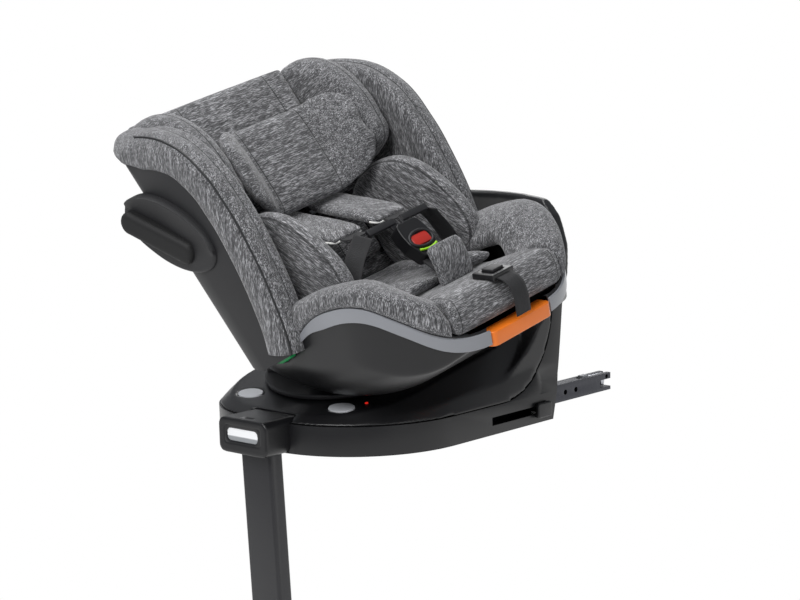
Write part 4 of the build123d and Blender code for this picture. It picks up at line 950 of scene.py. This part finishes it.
def webbing(name, colour):
    """Flat woven webbing: ribs 1.6 mm long and 2.4 mm wide, and a dull sheen."""
    material, tree, output = start_material(name)
    grain = add(tree, "ShaderNodeAttribute", attribute_name="grain").outputs["Vector"]
    ribs = add(tree, "ShaderNodeMapping", {"Scale": (1 / (1.6 * mm), 1 / (2.4 * mm), 1)}, {"Vector": grain})
    weave = add(tree, "ShaderNodeTexVoronoi", {"Scale": 1.0}, {"Vector": ribs.outputs[0]})
    drift = add(tree, "ShaderNodeTexNoise", {"Scale": 60.0, "Detail": 3.0}, {"Vector": grain})
    tint = add(tree, "ShaderNodeMix", {"A": shaded(colour, 0.7), "B": shaded(colour, 1.5)},
               {"Factor": drift.outputs[0]}, data_type="RGBA")
    bump = add(tree, "ShaderNodeBump", {"Strength": 0.5, "Distance": 0.0005},
               {"Height": weave.outputs["Distance"]})
    shader = add(tree, "ShaderNodeBsdfPrincipled", {"Roughness": 0.78, "Sheen Weight": 0.06},
                 {"Base Color": tint.outputs["Result"], "Normal": bump.outputs[0]})
    tree.links.new(shader.outputs[0], output.inputs[0])
    return material


black_webbing = webbing("black_polyester_webbing", "#1b1b1d")
white_piping = webbing("white_cotton_piping", "#d9d9d6")


def strap(name, path, wide, thick, across=(0, 1, 0)):
    """Flat webbing with rounded edges along a smooth path, its width along one direction."""
    line, run = smooth_line(path, len(path) * 10)
    heading = unit(np.gradient(line, axis=0))
    across = np.tile(across, (len(line), 1))
    across = unit(across - heading * np.sum(heading * across, axis=1)[:, None])
    face = np.cross(heading, across)
    section = [(-0.5, 0), (-0.49, 0.5), (-0.3, 0.5), (0, 0.5), (0.3, 0.5), (0.49, 0.5), (0.5, 0),
               (0.49, -0.5), (0.3, -0.5), (0, -0.5), (-0.3, -0.5), (-0.49, -0.5)]
    rings = [[p + a * u * wide * mm + f * v * thick * mm for u, v in section]
             for p, a, f in zip(line, across, face)]
    piece = net(name, rings)
    mark(piece, "grain", [[along, u * wide * mm, v * mm] for along in run for u, v in section])
    return piece


def pipe(name, path, radius):
    """A thin round cord sewn along an edge."""
    line, run = smooth_line(path, len(path) * 8)
    heading = unit(np.gradient(line, axis=0))
    first = unit(np.cross(heading, np.where(np.abs(heading[:, 2:3]) < 0.9, (0, 0, 1), (1, 0, 0))))
    second = np.cross(heading, first)
    turns = np.linspace(0, 2 * math.pi, 10, endpoint=False)
    rings = [[p + (f * math.cos(t) + g * math.sin(t)) * radius * mm for t in turns]
             for p, f, g in zip(line, first, second)]
    piece = net(name, rings)
    mark(piece, "grain", [[s, t * mm, 0] for s in run for t in turns])
    return piece


def ribbon_pad(name, path, middle, half, thick, ends=0.16):
    """A flat soft pad that follows a path of (x, z) points, with rounded corners at both ends."""
    line, run = smooth_line(path, 61)
    share = run / run[-1] * 2 - 1
    heading = unit(np.gradient(line, axis=0))

    def form(a, b, c):
        """Points of the pad from -1 to 1 across it, along it and through it."""
        x, z, hx, hz = (np.interp(b, share, values) for values in (*line.T, *heading.T))
        wide = half * (1 - ends * np.clip((np.abs(b) - 0.72) / 0.28, 0, 1) ** 2)
        rise = thick / 2 * c * dome(a, b, 0.5)
        return upright(x - hz * rise, middle + wide * a, z + hx * rise)

    return block_pad(name, 22, form, 3.5), form


# Strap and pad lines: shoulder ones as (n, w) before the back, the others as (x, y, z) over the deck.
SHOULDER_LINE = [(32, 158), (62, 158), (90, 134), (130, 104), (176, 68), (206, 58)]
PAD_LINE = [(60, 158), (66, 155), (90, 135), (130, 105), (171, 72)]
LAP_LINE = [(116, 66, 226), (114, 76, 213), (113, 90, 196), (114, 106, 168), (115, 116, 138)]
CROTCH_LINE = [(203, 0, 139), (200, 0, 158), (188, 0, 169), (174, 0, 178)]
TAIL_LINE = [(298, 0, 162), (306, 0, 160.6), (314, 0, 156.5), (321, 0, 147), (324.4, 0, 130),
             (324.2, 0, 109)]
webbing_wide, belt_y = 38, 46
for side, word in SIDES:
    first = side > 0                    # the left copy of a pair stands for the solid that holds both
    belt = strap("shoulder_strap_" + word, leaning(*np.transpose(SHOULDER_LINE), belt_y) * (1, side, 1),
                 webbing_wide, 1.7)
    settle(belt, black_webbing, "tub", "webbing", *(["shoulder_straps"] if first else []))
    belt = strap("lap_strap_" + word, upright(*np.transpose(LAP_LINE)) * (1, side, 1),
                 webbing_wide, 1.7, (1, 0, 0))
    settle(belt, black_webbing, "tub", "webbing", *(["lap_straps"] if first else []))
    path = leaning(*np.transpose(PAD_LINE), 0) / mm
    path = path[:, [0, 2]] - (0, deck_mm)
    pad, form = ribbon_pad("shoulder_pad_" + word, path, side * belt_y, 33, 16)
    finish_pad(pad, (0.75, 0.55 * side, -0.37), [], "tub", ["shoulder_pads"] if first else [])
    turn = np.linspace(-math.pi / 2, math.pi / 2, 25)
    a = np.sign(np.sin(turn)) * np.abs(np.sin(turn)) ** 0.45
    b = 0.80 + 0.215 * np.cos(turn) ** 0.45
    cord = pipe("shoulder_pad_piping_" + word, form(a, b, -0.55 * np.ones_like(a)), 1.5)
    settle(cord, white_piping, "tub", "grey_fabric")

crotch_strap = strap("crotch_strap_webbing", upright(*np.transpose(CROTCH_LINE)), webbing_wide, 2.4)
settle(crotch_strap, black_webbing, "tub", "webbing", "crotch_strap")
pad, _ = ribbon_pad("crotch_pad_soft", [(215, 145), (212, 166), (205.5, 186), (196, 203)], 0, 34, 13, 0.22)
finish_pad(pad, (-0.35, 0.5, 0.8), [], "tub", ["crotch_pad"])
tail = strap("adjuster_strap_tail", upright(*np.transpose(TAIL_LINE)), 30, 1.8)
settle(tail, black_webbing, "tub", "webbing", "adjuster_strap")

# ---------------------------------------------------------------------------
# Buckle, tongues and adjuster: moulded black polypropylene and nylon. The red
# button sits in an oval frame, with a lime strip of plastic below it.
# ---------------------------------------------------------------------------
red_abs = moulded("red_abs_gloss_moulded", "#a8281f", 0.3, 0.1)
lime_abs = moulded("lime_abs_gloss_moulded", "#9ad62a", 0.35, 0.1)
buckle_x, buckle_z, buckle_tilt = 150, 199, math.radians(45)
housing = melted("buckle_body", "buckle_housing", 0.9, 8)
place = points_of(housing) / mm
climb = ((place[:, 2] - buckle_z - deck_mm) * math.cos(buckle_tilt)
         - (place[:, 0] - buckle_x) * math.sin(buckle_tilt))        # height up the buckle from its middle
place[:, 1] *= np.interp(climb, [-36, -22, -6, 12, 30], [0.55, 0.72, 0.96, 0.97, 0.84])
put_points(housing, place * mm)
settle(housing, black_pp, "tub", "black_plastic", "buckle_body")
stand_in("buckle_button", "buckle_push_button", 2.0, red_abs, "buckle_button", "red_plastic")
stand_in("buckle_tongues", "buckle_tongue_plates", 1.2, black_nylon, "tub", "black_plastic")
stand_in("adjuster_housing", "adjuster_frame", 1.5, black_pp, "tub", "black_plastic")
stand_in("adjuster_button", "adjuster_lever", 1.2, black_nylon, "adjuster_button", "black_plastic")


def on_buckle(out, y, up):
    """A point out from the buckle's middle, across it and up its length, in metres."""
    x = buckle_x + out * math.cos(buckle_tilt) - up * math.sin(buckle_tilt)
    z = buckle_z + out * math.sin(buckle_tilt) + up * math.cos(buckle_tilt)
    return np.array([x, y, z + deck_mm]) * mm


turns = np.linspace(0, 2 * math.pi, 49)
oval = [on_buckle(11.5 + 0.8 * math.cos(t) ** 2, 21.5 * math.sin(t), -3 + 13 * math.cos(t)) for t in turns]
settle(pipe("buckle_oval_frame", oval, 2.2), black_nylon, "tub", "black_plastic")
strip = [on_buckle(12.0, y, -18.5 - 3.2 * (1 - (y / 17) ** 2)) for y in np.linspace(-17, 17, 13)]
settle(pipe("buckle_lime_strip", strip, 1.9), lime_abs, "tub", "black_plastic")

# The bowl's foam core, and any solid that no finished piece stands for.
paint(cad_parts["pan_foam"], moulded("expanded_polystyrene_grey_beads", "#c9c9c6", 0.85, 0.8, 3.5))
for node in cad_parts.values():
    if not node.hide_render and not node.data.materials:
        paint(node, charcoal_pp)
